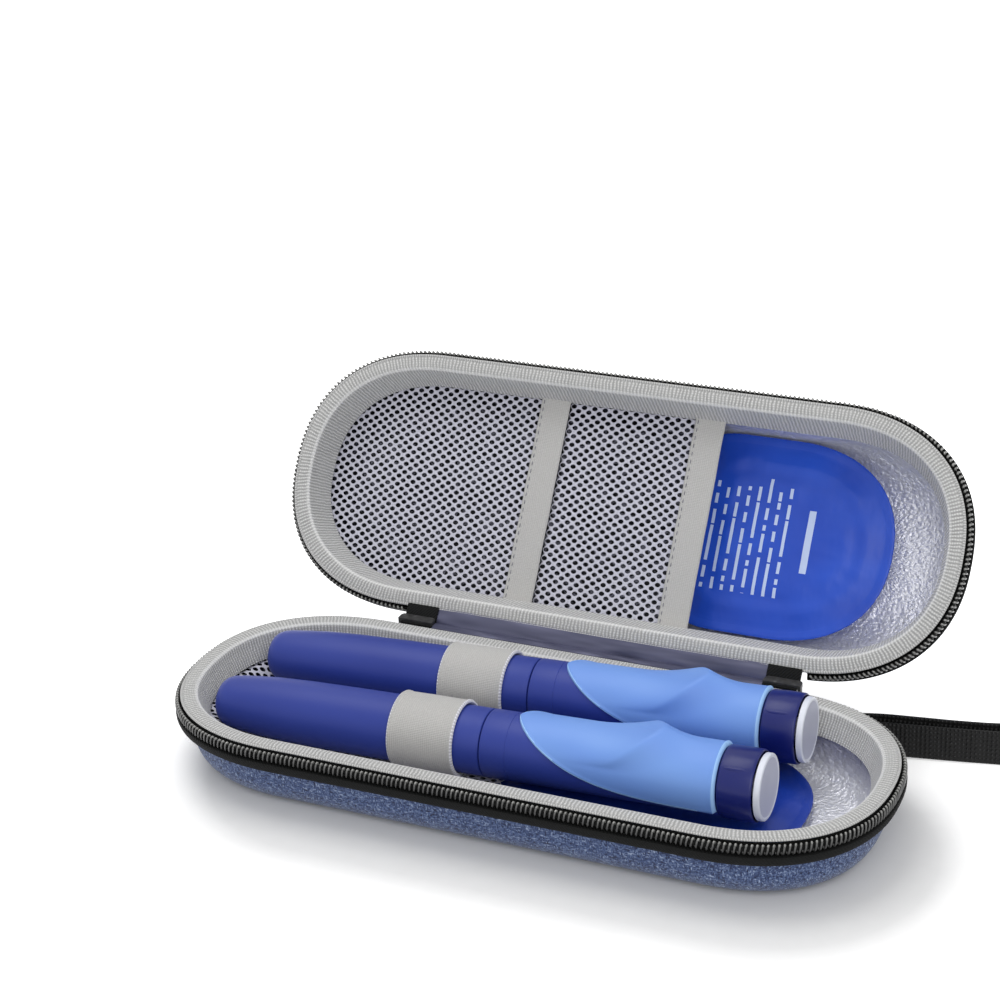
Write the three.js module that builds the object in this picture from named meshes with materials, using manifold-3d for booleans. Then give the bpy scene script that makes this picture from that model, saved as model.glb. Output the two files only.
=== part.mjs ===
// Insulin cooling case, standing open. Two moulded halves share a fabric hinge; each is lined with foil and
// rimmed with woven cloth. The base holds two injection pens in elastic loops above a gel pack, and the lid
// holds a second gel pack behind net pockets. Millimetres; X runs along the case, Y towards the hinge, Z up,
// and the origin is the middle of the flat bottom.
import * as THREE from "three";
import { mergeVertices } from "three/addons/utils/BufferGeometryUtils.js";
import Module from "manifold-3d";

const wasm = await Module();
wasm.setup();

// Clearances shared by all pieces
const restGap = 0.3; // between pieces that lie on each other
const cutOverrun = 1; // how far a cutter passes the face that it opens

// Pens, measured from the cap's tip. Their radii are built up from the cartridge, and their lengths from the
// cap's tip.
const penGap = 0.3;
const cartridgeRadius = 4.9;
const cartridgeWall = 0.9;
const holderWall = 1;
const noseWall = 1.1; // of the barrel's nose, which plugs into the cap
const capWall = 1.2;
const barrelStand = 0.05; // barrel outside the cap
const gripStand = 0.8; // grip outside the barrel
const ringStand = 0.35; // dose ring outside the barrel
const plungerRadius = cartridgeRadius - cartridgeWall - penGap;
const holderBore = cartridgeRadius + penGap;
const holderRadius = holderBore + holderWall;
const noseBore = holderRadius + penGap;
const barrelNoseRadius = noseBore + noseWall;
const capRadius = barrelNoseRadius + penGap + capWall;
const barrelRadius = capRadius + barrelStand;
const gripRadius = barrelRadius + gripStand;
const ringRadius = barrelRadius + ringStand;
const holderMouth = 2.5; // radius of the needle end
const rodRadius = 2.2;
const rodRoom = 1.1; // rod to the barrel's bore
const barrelBore = rodRadius + rodRoom;
const neckWall = 1.7;
const neckRadius = barrelBore + neckWall;
const stemRadius = barrelBore - penGap;
const capBoreTip = 5.8; // radius of the bore at its closed end
const capTipShares = [0.3, 0.55, 0.7, 0.77, 0.87, 0.93, 0.967]; // of the radius
const capTipPlaceShares = [0, 0.01, 0.027, 0.061, 0.135, 0.209, 0.331]; // of the length, at the same places
const capLength = 81.5;
const capTipWall = 12;
const barrelNose = 8; // length that plugs into the cap
const collarLength = 8.8; // of the barrel, from the cap to the grip
const gripLength = 56.1;
const neckLength = 7.5;
const ringLength = 9.2;
const buttonThickness = 1.7;
const shoulder = capLength + penGap;
const gripStart = shoulder + collarLength;
const gripEnd = gripStart + gripLength;
const ringStart = gripEnd + penGap;
const ringEnd = ringStart + ringLength;
const buttonStart = ringEnd + penGap;
const penLength = buttonStart + buttonThickness;
const holderLength = 52;
const holderSetback = 1.5; // its end inside the cap's mouth
const holderEnd = capLength - holderSetback;
const holderStart = holderEnd - holderLength;
const holderTaper = 3;
const cartridgeStart = holderStart + holderTaper;
const cartridgeSetback = 1.5; // its end inside the holder's
const cartridgeEnd = holderEnd - cartridgeSetback;
const plungerLength = 7;
const plungerSetback = 7.5; // its end inside the cartridge's
const plungerEnd = cartridgeEnd - plungerSetback;
const penSides = 24;
const innerSides = 14; // on the pieces inside a pen
const gripInset = 0.55; // depth of its bed in the barrel
const gripWrap = 122; // degrees from the top to each edge, at the button end
const gripEdgePower = 2.5;
const gripEdgeRootShare = 0.667;
const gripSteps = 15;
const gripAngles = 10;
const finRise = 3.05;
const finPlace = 40; // from the start of the grip
const finSweep = 14.5; // how far the crest runs forward at its ends
const finSweepPower = 1.5;
const finReach = 68; // degrees from the top to where the crest fades out
const finFront = 16;
const finBack = 13;
const finPower = 2.2;
const ringEdge = 0.3;
const ringWall = 0.45;
const buttonEdge = 0.4;
const buttonTravel = 1.5;
const stemLength = 16;
const rodEnd = buttonStart - stemLength - buttonTravel;

// Room round the pens at the rim, which gives the case its size
const frontTipRoom = 12.4; // left end of the rim to the front pen's tip
const rearTipRoom = 14;
const buttonRoom = 29.4; // right end of the rim to the front pen's button
const frontRoom = 15.8; // front of the rim to the front pen's cap
const betweenPens = 8.7; // at the caps' tips
const rearRoom = 12.7; // back of the rim to the rear pen's cap

// Outline of the rim, the same for both halves
const caseLength = frontTipRoom + penLength + buttonRoom;
const caseWidth = frontRoom + betweenPens + rearRoom + 4 * capRadius;
const endReach = 41.3; // length of each rounded end
const endPower = 2.29; // 2 would make the ends true ellipses
const endSteps = 7; // facets in a quarter turn of an end
const cornerSteps = 4; // facets in the rounding between wall and floor

// Moulded shells: where the wall runs, seen from the rim
const edgeInset = 0.9; // the shell's top edge lies inside the rim outline
const edgeDrop = 0.8; // and below the rim plane
const footInset = 2.5; // how far the wall has drawn in where the rounding starts
const baseHalf = {
  depth: 21,
  rounding: 9,
  wallTop: 2.7,
  wallFoot: 3.6,
  floor: 3.2,
  innerRounding: 7.6,
  liningDepth: 6.9,
};
const lidHalf = {
  depth: 33,
  rounding: 17,
  wallTop: 2.5,
  wallFoot: 2.5,
  floor: 2.5,
  innerRounding: 14.5,
  liningDepth: 9.5,
};

// Foil liners
const foilThickness = 0.4;
const linerDrop = 1.5; // its top edge below the net that is sewn above it

// Woven rim lining: a flange on the rim that turns down inside
const flangeThickness = 0.5;
const liningThickness = 0.7;
const liningTurn = 0.9;
const liningInset = 7.2; // its lower edge, from the rim outline

// Zipper: a coil beside the lining's edge, on a tape that is sewn round the outside of each wall
const coilWidth = 1.4;
const coilHeight = 3.9;
const tapeStand = 1.7; // how far the tape stands outside the rim outline, below the coil
const tapeFace = 1.4; // height of its outer face
const tapeDepth = 8.3; // rim plane to its lower edge
const tapeGap = 0.35; // tape to shell and to lining
const tapeFoot = 0.9; // thickness at its lower edge
const coilSides = 6;
const zipperShortLeft = 1.7; // the zipper stops short of the left end's centre
const zipperPastRight = 5.3; // and past the right end's, with the hinge between
const zipperEndLeft = caseLength / 2 - endReach - zipperShortLeft;
const zipperEndRight = caseLength / 2 - endReach + zipperPastRight;

// Fabric hinge
const openAngle = 125.05; // degrees between the closed and the photographed lid
const closedRimGap = 0.46;
const hingeOut = 3.59; // hinge line outside the rim outline
const gussetThickness = 0.4;
const gussetSag = 0.7; // valley of the gusset below the rim plane
const tabThickness = 0.9;
const tabWidth = 9.6;
const hingeMargin = 0.5; // edge of a hinge fabric to the lining that it is sewn to

// Zipper sliders, parked at the ends of the coil: a plate in the hinge's valley and one under it
const sliderWidth = 3;
const sliderPlate = 1.1;
const sliderRounding = 1.5;
const sliderSetback = 0.8; // front of the plates behind the rim outline
const sliderMouth = 2.4; // between the plates
const sliderNeck = 0.8;
const earThickness = 0.8;
const earMargin = 0.5; // ear past the pin
const pinRadius = 0.55;
const pullLength = 15;
const pullWidth = 3.6;
const pullThickness = 1.1;
const pullEyeRadius = 1.7;
const pullEyeGap = 0.35;
const smallSides = 8; // facets round pins and eyes

// Nets
const netThickness = 0.5;
const netPitch = 9.6;
const netRow = 5.5;
const holeLength = 6.2;
const holeWidth = 7;
const netSeam = 2.8; // plain margin sewn under the lining
const netHem = 2.4; // plain margin at the open edge of a pocket
const baseNetOverlap = 3.5; // the base pocket's open edge reaches this far over the gel pack
const netRise = 4.5; // from the floor's inside to the net under the pens
const baseNetTop = baseHalf.floor + netRise;
const baseNetFlat = 12; // how far in from the rim outline the net lies flat

// Elastic bands across the lid
const bandWidth = 9;
const bandThickness = 0.8;
const outerBandLeft = -31;
const innerBandLeft = 16.3;

// Gel packs
const gelGap = 0.35; // between a pack's border and the liner's rounded corner
const gelWeld = 2.6; // flat welded border
const gelWeldThickness = 0.7;
const gelWeldHeight = 1.9; // the border's underside above the belly
const gelThickness = 4.1;
const gelCrown = 15; // width over which the pack swells from its border
const gelCrownShares = [0, 0.34, 0.62, 1]; // of that width
const gelSwellShares = [0, 0.5, 0.85, 1]; // of the swelling, at the same places
const gelEndReach = 33; // the rounded end
const gelButtReach = 18; // the squarer end that is hidden
const gelButtPower = 4;
const gelSteps = 7;
const gelLength = 83;
const gelEndRoom = 22.5; // base pack to the right end of the rim
const baseGelRight = caseLength / 2 - gelEndRoom;
const baseGelLeft = baseGelRight - gelLength;
const lidGelLength = 62.5;
const lidGelEndRoom = 24;
const lidGelRight = caseLength / 2 - lidGelEndRoom;
const lidGelLeft = lidGelRight - lidGelLength;
const lidGelRise = 8.9; // outside of the lid's top to the belly of its pack
const lidGelDepth = lidHalf.depth - lidGelRise;
const baseGelRise = baseHalf.floor + foilThickness + 2 * restGap;
const baseNetEdge = baseGelLeft + baseNetOverlap;
const lidGelShift = 0.8; // away from the hinge

// Elastic pen loops, each round a cap near its mouth
const loopWidth = 19;
const loopSetback = 7; // loop to the cap's mouth
const loopStart = capLength - loopSetback - loopWidth;
const loopGap = 0.35;
const loopBore = capRadius + loopGap;
const loopThickness = 1;
const loopSteps = 12;

// Where the pens lie: each loop is sewn to the net, and its pen is turned and tilted a little
const frontLoopPress = 0.28; // thickness of the loop where it is pressed between pen and net
const rearLoopPress = 0.77;
const frontPitch = 1.27;
const rearPitch = 1.26;
function tipHeight(press, pitch) {
  const axisHeight = baseNetTop + restGap + press + loopBore;
  return axisHeight - loopStart * Math.sin(THREE.MathUtils.degToRad(pitch));
}
const penFront = {
  x: frontTipRoom - caseLength / 2,
  y: frontRoom + capRadius - caseWidth / 2,
  z: tipHeight(frontLoopPress, frontPitch),
  yaw: 0.87,
  pitch: frontPitch,
};
const penRear = {
  x: rearTipRoom - caseLength / 2,
  y: caseWidth / 2 - rearRoom - capRadius,
  z: tipHeight(rearLoopPress, rearPitch),
  yaw: 1.81,
  pitch: rearPitch,
};

// Wrist strap: webbing on edge, both ends sewn to an anchor patch on the back wall
const strapWidth = 10;
const strapThickness = 1.2;
const strapChamfer = 0.3;
const anchorLeft = 46;
const anchorLength = 14;
const anchorThickness = 3.2;
const anchorHeight = 10.4;
const anchorBottom = 2.6;
const strapRoute = [
  [60.6, 36.05, 7.6],
  [64.5, 36.7, 7.4],
  [69, 38.7, 7],
  [75, 42.1, 6.4],
  [82.8, 45.3, 5.8],
  [94, 47.8, 5.5],
  [104.5, 49.8, 5.4],
  [114.8, 51.8, 5.4],
  [130, 54.4, 5.4],
  [148, 57, 5.4],
  [166, 59, 5.4],
  [182, 60.2, 5.4],
  [193, 61.4, 5.4],
  [200.6, 65.4, 5.4],
  [203, 72, 5.4],
  [199.6, 78.4, 5.4],
  [191, 81, 5.4],
  [178, 79.6, 5.4],
  [160, 75, 5.4],
  [142, 69.4, 5.4],
  [127, 61.2, 5.4],
  [114, 56.1, 5.4],
  [103.5, 53.6, 5.5],
  [93, 51.6, 5.7],
  [82, 49.2, 6],
  [74, 45.9, 6.4],
  [68, 42, 7],
  [64, 38.8, 7.4],
  [60.6, 37.55, 7.6],
];
const strapSteps = 48;

// Finishes
const finishes = {
  heather: { color: 0x6f86b4, roughness: 0.9 },
  lining: { color: 0xbfbfbd, roughness: 0.85 },
  foil: { color: 0xd6d6e2, roughness: 0.3, metalness: 0.8 },
  black: { color: 0x1c1c1d, roughness: 0.7 },
  net: { color: 0xc9c9d6, roughness: 0.8 },
  elastic: { color: 0xb5b5b3, roughness: 0.8 },
  gel: { color: 0x2a55c8, roughness: 0.25 },
  gusset: { color: 0x8384a8, roughness: 0.4 },
  zinc: { color: 0x4a4a4c, roughness: 0.5, metalness: 0.5 },
  navy: { color: 0x3a448c, roughness: 0.35 },
  grip: { color: 0x6f9ce2, roughness: 0.5 },
  ring: { color: 0x1c2378, roughness: 0.25 },
  button: { color: 0xdfe3ea, roughness: 0.4 },
  clear: { color: 0xdfe8ee, roughness: 0.1 },
  rubber: { color: 0x8a8d92, roughness: 0.8 },
};

const halfLength = caseLength / 2;
const halfWidth = caseWidth / 2;
const endCentre = halfLength - endReach;
const quarter = Math.PI / 2;

// Outlines. A station is a place on an outline: its point at any inset is found from where its end's centre
// lies and how far the end and the side reach from it.
function powered(value, power) {
  return Math.sign(value) * Math.abs(value) ** (2 / power);
}

function endStations(end, fromAngle, toAngle, steps) {
  const stations = [];
  for (let i = 0; i <= steps; i += 1) {
    const angle = fromAngle + ((toAngle - fromAngle) * i) / steps;
    stations.push({
      centre: end.centre,
      reach: end.reach,
      along: powered(Math.cos(angle), end.power),
      across: powered(Math.sin(angle), end.power),
      side: end.side,
    });
  }
  return stations;
}

function stationPoint(station, inset) {
  return [
    station.centre + station.along * (station.reach - inset),
    station.across * (station.side - inset),
  ];
}

function closedOutline(leftEnd, rightEnd, steps) {
  return [
    ...endStations(rightEnd, -quarter, quarter, 2 * steps),
    ...endStations(leftEnd, quarter, 3 * quarter, 2 * steps),
  ];
}

const rimRight = { centre: endCentre, reach: endReach, side: halfWidth, power: endPower };
const rimLeft = { ...rimRight, centre: -endCentre };
const rimOutline = closedOutline(rimLeft, rimRight, endSteps);

// The zipper's run: from the right of the hinge round the front to the left of it
const rightShare = (zipperEndRight - endCentre) / endReach;
const zipperAngle = Math.acos(Math.max(rightShare, 0) ** (endPower / 2));
const zipperRun = [
  ...endStations(rimRight, zipperAngle, -quarter, 2 * endSteps),
  ...endStations(rimLeft, 3 * quarter, quarter, 2 * endSteps),
  { centre: -zipperEndLeft, reach: 0, along: 0, across: 1, side: halfWidth },
];
// The lid is turned over, so the same ends of its zipper come at its other long side
const lidZipperRun = zipperRun.map((station) => ({ ...station, across: -station.across }));

// How far inside the rim outline a point lies
function rimInsetAt(x, y) {
  const past = Math.max(Math.abs(x) - endCentre, 0);
  let low = 0;
  let high = Math.min(halfWidth, endReach);
  for (let i = 0; i < 30; i += 1) {
    const inset = (low + high) / 2;
    const reachShare = past / (endReach - inset);
    const sideShare = Math.abs(y) / (halfWidth - inset);
    const outside = reachShare ** endPower + sideShare ** endPower > 1;
    if (outside) high = inset;
    else low = inset;
  }
  return low;
}

// Closed surfaces
function surface(points, faces) {
  const geometry = new THREE.BufferGeometry();
  geometry.setAttribute("position", new THREE.Float32BufferAttribute(points.flat(), 3));
  geometry.setIndex(faces.flat());
  return facingOut(geometry);
}

// Turns a closed surface's faces outwards
function facingOut(geometry) {
  const place = geometry.getAttribute("position");
  const index = geometry.index ? geometry.index.array : [...Array(place.count).keys()];
  const corner = (i) => new THREE.Vector3().fromBufferAttribute(place, index[i]);
  let volume = 0;
  for (let i = 0; i < index.length; i += 3) {
    volume += corner(i).dot(corner(i + 1).cross(corner(i + 2)));
  }
  if (volume < 0) {
    const turned = [];
    for (let i = 0; i < index.length; i += 3) turned.push(index[i], index[i + 2], index[i + 1]);
    geometry.setIndex(turned);
  }
  geometry.computeVertexNormals();
  return geometry;
}

function quad(a, b, c, d) {
  return [a, b, c, a, c, d];
}

// A section of [inset, height] points carried round an outline
function swept(section, stations, closed) {
  const points = [];
  const faces = [];
  const size = section.length;
  for (const station of stations) {
    for (const [inset, height] of section) points.push([...stationPoint(station, inset), height]);
  }
  const rings = closed ? stations.length : stations.length - 1;
  for (let i = 0; i < rings; i += 1) {
    const here = i * size;
    const next = ((i + 1) % stations.length) * size;
    for (let j = 0; j < size; j += 1) {
      const k = (j + 1) % size;
      faces.push(quad(here + j, next + j, next + k, here + k));
    }
  }
  if (!closed) {
    const contour = section.map(([inset, height]) => new THREE.Vector2(inset, height));
    const last = (stations.length - 1) * size;
    for (const [a, b, c] of THREE.ShapeUtils.triangulateShape(contour, [])) {
      faces.push([a, b, c]);
      faces.push([last + a, last + c, last + b]);
    }
  }
  return matched(points, faces);
}

// Turns the end caps the way that the sides run, by the sides' own winding
function matched(points, faces) {
  const flat = faces.flat();
  const directed = new Set();
  let clash = false;
  for (let i = 0; i < flat.length; i += 3) {
    const tri = flat.slice(i, i + 3);
    for (let j = 0; j < 3; j += 1) {
      const edge = `${tri[j]} ${tri[(j + 1) % 3]}`;
      clash = clash || directed.has(edge);
      directed.add(edge);
    }
  }
  if (!clash) return surface(points, faces);
  const caps = faces.map((face) => (face.length === 3 ? [face[0], face[2], face[1]] : face));
  return surface(points, caps);
}

// Rings of an outline, one for each [inset, height], closed by a flat cap at each end
function lofted(profile, stations) {
  const points = [];
  const faces = [];
  const size = stations.length;
  for (const [inset, height] of profile) {
    for (const station of stations) points.push([...stationPoint(station, inset), height]);
  }
  for (let i = 0; i < profile.length - 1; i += 1) {
    for (let j = 0; j < size; j += 1) {
      const k = (j + 1) % size;
      const here = i * size;
      faces.push(quad(here + j, here + k, here + size + k, here + size + j));
    }
  }
  const middle = (stations[0].centre + stations[stations.length - 1].centre) / 2;
  const ends = [profile[0], profile[profile.length - 1]];
  for (const [which, [, height]] of ends.entries()) {
    const hub = points.length;
    const first = which * (profile.length - 1) * size;
    points.push([middle, 0, height]);
    for (let j = 0; j < size; j += 1) {
      const k = (j + 1) % size;
      faces.push(which === 0 ? [hub, first + k, first + j] : [hub, first + j, first + k]);
    }
  }
  return surface(points, faces);
}

// A [place, radius] profile turned about the X axis
function turned(profile, sides = penSides) {
  const points = profile.map(([place, radius]) => new THREE.Vector2(radius, place));
  const geometry = new THREE.LatheGeometry(points, sides);
  geometry.rotateZ(-quarter);
  return facingOut(geometry);
}

// The same for a profile that goes round a bore and closes on itself
function turnedRing(profile, sides = penSides) {
  return turned([...profile, profile[0]], sides);
}

// A Y-Z shape extruded along X
function extrudedAlongX(shape, length, steps = 12) {
  const settings = { depth: length, bevelEnabled: false, curveSegments: steps };
  const geometry = new THREE.ExtrudeGeometry(shape, settings);
  const acrossY = new THREE.Vector3(0, 1, 0);
  const upZ = new THREE.Vector3(0, 0, 1);
  const alongX = new THREE.Vector3(1, 0, 0);
  geometry.applyMatrix4(new THREE.Matrix4().makeBasis(acrossY, upZ, alongX));
  return geometry;
}

function shapeOf(corners) {
  return new THREE.Shape(corners.map(([a, b]) => new THREE.Vector2(a, b)));
}

// Boolean cuts and joins
function solidOf(geometry) {
  const bare = geometry.clone();
  bare.deleteAttribute("normal");
  bare.deleteAttribute("uv");
  const merged = mergeVertices(bare, 1e-4);
  return new wasm.Manifold(
    new wasm.Mesh({
      numProp: 3,
      vertProperties: merged.getAttribute("position").array,
      triVerts: new Uint32Array(merged.index.array),
    }),
  );
}

function geometryOf(solid) {
  const mesh = solid.getMesh();
  const geometry = new THREE.BufferGeometry();
  geometry.setAttribute("position", new THREE.BufferAttribute(mesh.vertProperties, 3));
  geometry.setIndex([...mesh.triVerts]);
  geometry.computeVertexNormals();
  return geometry;
}

function joined(first, ...others) {
  return geometryOf(others.reduce((solid, other) => solid.add(solidOf(other)), solidOf(first)));
}

function cut(body, cutter) {
  return geometryOf(solidOf(body).subtract(solidOf(cutter)));
}

// Scene graph
const insulinCase = new THREE.Group();
insulinCase.name = "insulin_cooling_case";
const baseGroup = new THREE.Group();
baseGroup.position.z = baseHalf.depth;
const hingeGroup = new THREE.Group();
const hingeY = halfWidth + hingeOut;
const hingeZ = baseHalf.depth + closedRimGap / 2;
hingeGroup.position.set(0, hingeY, hingeZ);
hingeGroup.rotation.x = Math.PI - THREE.MathUtils.degToRad(openAngle);
const lidGroup = new THREE.Group();
lidGroup.position.set(0, hingeY, -closedRimGap / 2);
hingeGroup.add(lidGroup);
insulinCase.add(baseGroup, hingeGroup);

function addPiece(parent, name, geometry, finish) {
  const mesh = new THREE.Mesh(geometry, new THREE.MeshStandardMaterial(finishes[finish]));
  mesh.name = name;
  parent.add(mesh);
  return mesh;
}

// Both halves are built rim up: the rim plane is at height 0 and depths run down from it
function outerInsetAt(half, depth) {
  const share = (depth - edgeDrop) / (half.depth - half.rounding - edgeDrop);
  return edgeInset + (footInset - edgeInset) * share;
}

function innerInsetAt(half, depth) {
  const top = edgeInset + half.wallTop;
  const foot = footInset + half.wallFoot;
  const footDepth = half.depth - half.floor - half.innerRounding;
  const share = (depth - edgeDrop) / (footDepth - edgeDrop);
  return top + (foot - top) * share;
}

// Quarter round from a floor up to a wall, as [inset, height] points
function cornerPoints(inset, floorHeight, radius) {
  const points = [];
  for (let i = 0; i <= cornerSteps; i += 1) {
    const angle = (quarter * i) / cornerSteps;
    points.push([
      inset + radius - radius * Math.sin(angle),
      floorHeight + radius - radius * Math.cos(angle),
    ]);
  }
  return points;
}

// The inside face of a shell moved inwards by an offset, from the floor up to a depth
function insideProfile(half, offset, topDepth) {
  const foot = footInset + half.wallFoot + offset;
  const floorHeight = -half.depth + half.floor + offset;
  return [
    ...cornerPoints(foot, floorHeight, half.innerRounding - offset),
    [innerInsetAt(half, topDepth) + offset, -topDepth],
  ];
}

// The inset of the liner's rounded corner at a height above the inside of the shell's floor
function linerInsetAt(half, height) {
  const offset = restGap + foilThickness;
  const radius = half.innerRounding - offset;
  const drop = radius - (height - offset);
  return footInset + half.wallFoot + offset + radius - Math.sqrt(radius ** 2 - drop ** 2);
}

function shellGeometry(half) {
  const outside = cornerPoints(footInset, -half.depth, half.rounding);
  const inside = insideProfile(half, 0, edgeDrop);
  return lofted([...outside, [edgeInset, -edgeDrop], ...inside.reverse()], rimOutline);
}

// The net is sewn just under the lining's lower edge, and the foil liner ends below the net
function netDepth(half) {
  return half.liningDepth + restGap;
}

function linerGeometry(half) {
  const topDepth = netDepth(half) + netThickness + linerDrop;
  const outside = insideProfile(half, restGap, topDepth);
  const inside = insideProfile(half, restGap + foilThickness, topDepth);
  return lofted([...outside, ...inside.reverse()], rimOutline);
}

function liningGeometry(half) {
  const shellEdge = edgeInset + half.wallTop;
  const backTurn = shellEdge + restGap;
  const section = [
    [0, 0],
    [backTurn + liningThickness - liningTurn, 0],
    [backTurn + liningThickness, -liningTurn],
    [liningInset, -half.liningDepth],
    [liningInset - liningThickness, -half.liningDepth],
    [backTurn, -edgeDrop],
    [shellEdge + restGap / 2, -flangeThickness],
    [0, -flangeThickness],
  ];
  return swept(section, rimOutline, true);
}

function tapeGeometry(half, run) {
  const foot = outerInsetAt(half, tapeDepth) - tapeGap;
  const ledge = coilHeight + restGap;
  const section = [
    [edgeInset - tapeGap, -edgeDrop - tapeGap],
    [foot, -tapeDepth],
    [foot - tapeFoot, -tapeDepth],
    [-tapeStand, -ledge - tapeFace],
    [-tapeStand, -ledge],
    [0, -ledge],
    [0, -flangeThickness - tapeGap],
  ];
  return swept(section, run, false);
}

function coilGeometry(run) {
  const middle = -restGap - coilWidth / 2;
  const section = [];
  for (let i = 0; i < coilSides; i += 1) {
    const angle = (2 * Math.PI * i) / coilSides;
    section.push([
      middle + (coilWidth / 2) * Math.cos(angle),
      (coilHeight / 2) * (Math.sin(angle) - 1),
    ]);
  }
  return swept(section, run, false);
}

// Net pockets
function netShape(edge, left, right, seamLeft) {
  const sideHeight = halfWidth - edge;
  const sideAt = (x) => {
    const past = Math.max(Math.abs(x) - endCentre, 0) / (endReach - edge);
    return sideHeight * (1 - past ** endPower) ** (1 / endPower);
  };
  const hemSteps = 2 * Math.round(sideHeight / netRow);
  const corners = [];
  for (let i = 0; i <= hemSteps; i += 1) {
    corners.push([right, sideAt(right) * ((2 * i) / hemSteps - 1)]);
  }
  if (left > -halfLength) {
    corners.push([left, sideAt(left)], [left, -sideAt(left)]);
  } else {
    const outline = rimOutline.map((station) => stationPoint(station, edge));
    corners.push(...outline.filter(([x]) => x < 0));
  }
  const shape = shapeOf(corners);
  addNetHoles(shape, edge + netSeam, left + seamLeft, right - netHem);
  return shape;
}

// Staggered diamond holes, kept clear of the seams and the hem
function addNetHoles(shape, seamInset, left, right) {
  const rows = Math.floor(halfWidth / netRow);
  const columns = Math.ceil(halfLength / netPitch);
  for (let row = -rows; row <= rows; row += 1) {
    const shift = row % 2 === 0 ? 0 : netPitch / 2;
    for (let column = -columns; column <= columns; column += 1) {
      const x = column * netPitch + shift;
      const y = row * netRow;
      const corners = [
        [x - holeLength / 2, y],
        [x, y - holeWidth / 2],
        [x + holeLength / 2, y],
        [x, y + holeWidth / 2],
      ];
      const clear = corners.every(
        ([px, py]) =>
          px > left && px < right && Math.abs(px) < halfLength && rimInsetAt(px, py) > seamInset,
      );
      if (clear) shape.holes.push(shapeOf(corners));
    }
  }
}

function netGeometry(half, left, right, seamLeft) {
  const depth = netDepth(half);
  const edge = innerInsetAt(half, depth + netThickness) + restGap;
  const settings = { depth: netThickness, bevelEnabled: false };
  const geometry = new THREE.ExtrudeGeometry(netShape(edge, left, right, seamLeft), settings);
  geometry.translate(0, 0, -depth - netThickness);
  return geometry;
}

// The base net sags from its sewn edge to lie flat under the pens
function sagged(geometry) {
  const place = geometry.getAttribute("position");
  const fall = baseHalf.depth - netDepth(baseHalf) - baseNetTop;
  for (let i = 0; i < place.count; i += 1) {
    const inset = rimInsetAt(place.getX(i), place.getY(i));
    const share = THREE.MathUtils.smoothstep(inset, liningInset, baseNetFlat);
    place.setZ(i, place.getZ(i) - fall * share);
  }
  geometry.computeVertexNormals();
  return geometry;
}

// Half the width of a gel pack whose border just clears the liner's corner, when it lies a shift to one side
function gelSide(half, rise, shift) {
  const corner = linerInsetAt(half, rise + gelWeldHeight - half.floor);
  return halfWidth - corner - gelGap - shift;
}

// Gel packs: a flat welded border, with the gel swelling above and below it
function gelGeometry(left, right, side) {
  const rightEnd = { centre: right - gelEndReach, reach: gelEndReach, side, power: endPower };
  const leftEnd = { centre: left + gelButtReach, reach: gelButtReach, side, power: gelButtPower };
  const borderTop = gelWeldHeight + gelWeldThickness;
  const above = [[0, borderTop]];
  const below = [[0, gelWeldHeight]];
  for (const [i, share] of gelCrownShares.entries()) {
    const inset = gelWeld + (gelCrown - gelWeld) * share;
    above.push([inset, borderTop + (gelThickness - borderTop) * gelSwellShares[i]]);
    below.push([inset, gelWeldHeight * (1 - gelSwellShares[i])]);
  }
  return lofted([...below.reverse(), ...above], closedOutline(leftEnd, rightEnd, gelSteps));
}

// Pen parts, along X from the cap's tip
function capGeometry() {
  const outside = capTipShares.map((share, i) => [
    capLength * capTipPlaceShares[i],
    capRadius * share,
  ]);
  const bore = barrelNoseRadius + penGap;
  return turned([
    [0, 0],
    ...outside,
    [capLength, capRadius],
    [capLength, bore],
    [capLength * capTipPlaceShares.at(-1), bore],
    [capTipWall, capBoreTip],
    [capTipWall, 0],
  ]);
}

const bedRadius = barrelRadius - gripInset;

function barrelGeometry() {
  const noseEnd = shoulder - barrelNose;
  const neckEnd = gripEnd + neckLength;
  const body = turnedRing([
    [noseEnd, noseBore],
    [noseEnd, barrelNoseRadius],
    [shoulder, barrelNoseRadius],
    [shoulder, barrelRadius],
    [gripEnd, barrelRadius],
    [gripEnd, neckRadius],
    [neckEnd, neckRadius],
    [neckEnd, barrelBore],
    [holderEnd + penGap, barrelBore],
    [holderEnd + penGap, noseBore],
  ]);
  return cut(body, gripPatch(bedRadius, () => gripRadius + finRise, penGap));
}

// Half the angle that the grip wraps, at a place along the pen
function wrapAt(place, margin) {
  const start = gripStart - margin;
  const share = Math.min(Math.max((gripEnd - place) / (gripEnd - start), 0), 1);
  const wrap = gripWrap * (1 - share ** gripEdgePower) ** gripEdgeRootShare;
  return THREE.MathUtils.degToRad(wrap) + margin / barrelRadius;
}

function gripOuterRadius(place, angle) {
  const degrees = Math.abs(THREE.MathUtils.radToDeg(angle));
  const reachShare = degrees / finReach;
  if (reachShare >= 1) return gripRadius;
  const crest = gripStart + finPlace - finSweep * reachShare ** finSweepPower;
  const span = place < crest ? finFront : finBack;
  const share = Math.min(Math.abs(place - crest) / span, 1);
  return gripRadius + finRise * (1 - reachShare ** 2) * (1 - share) ** finPower;
}

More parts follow.
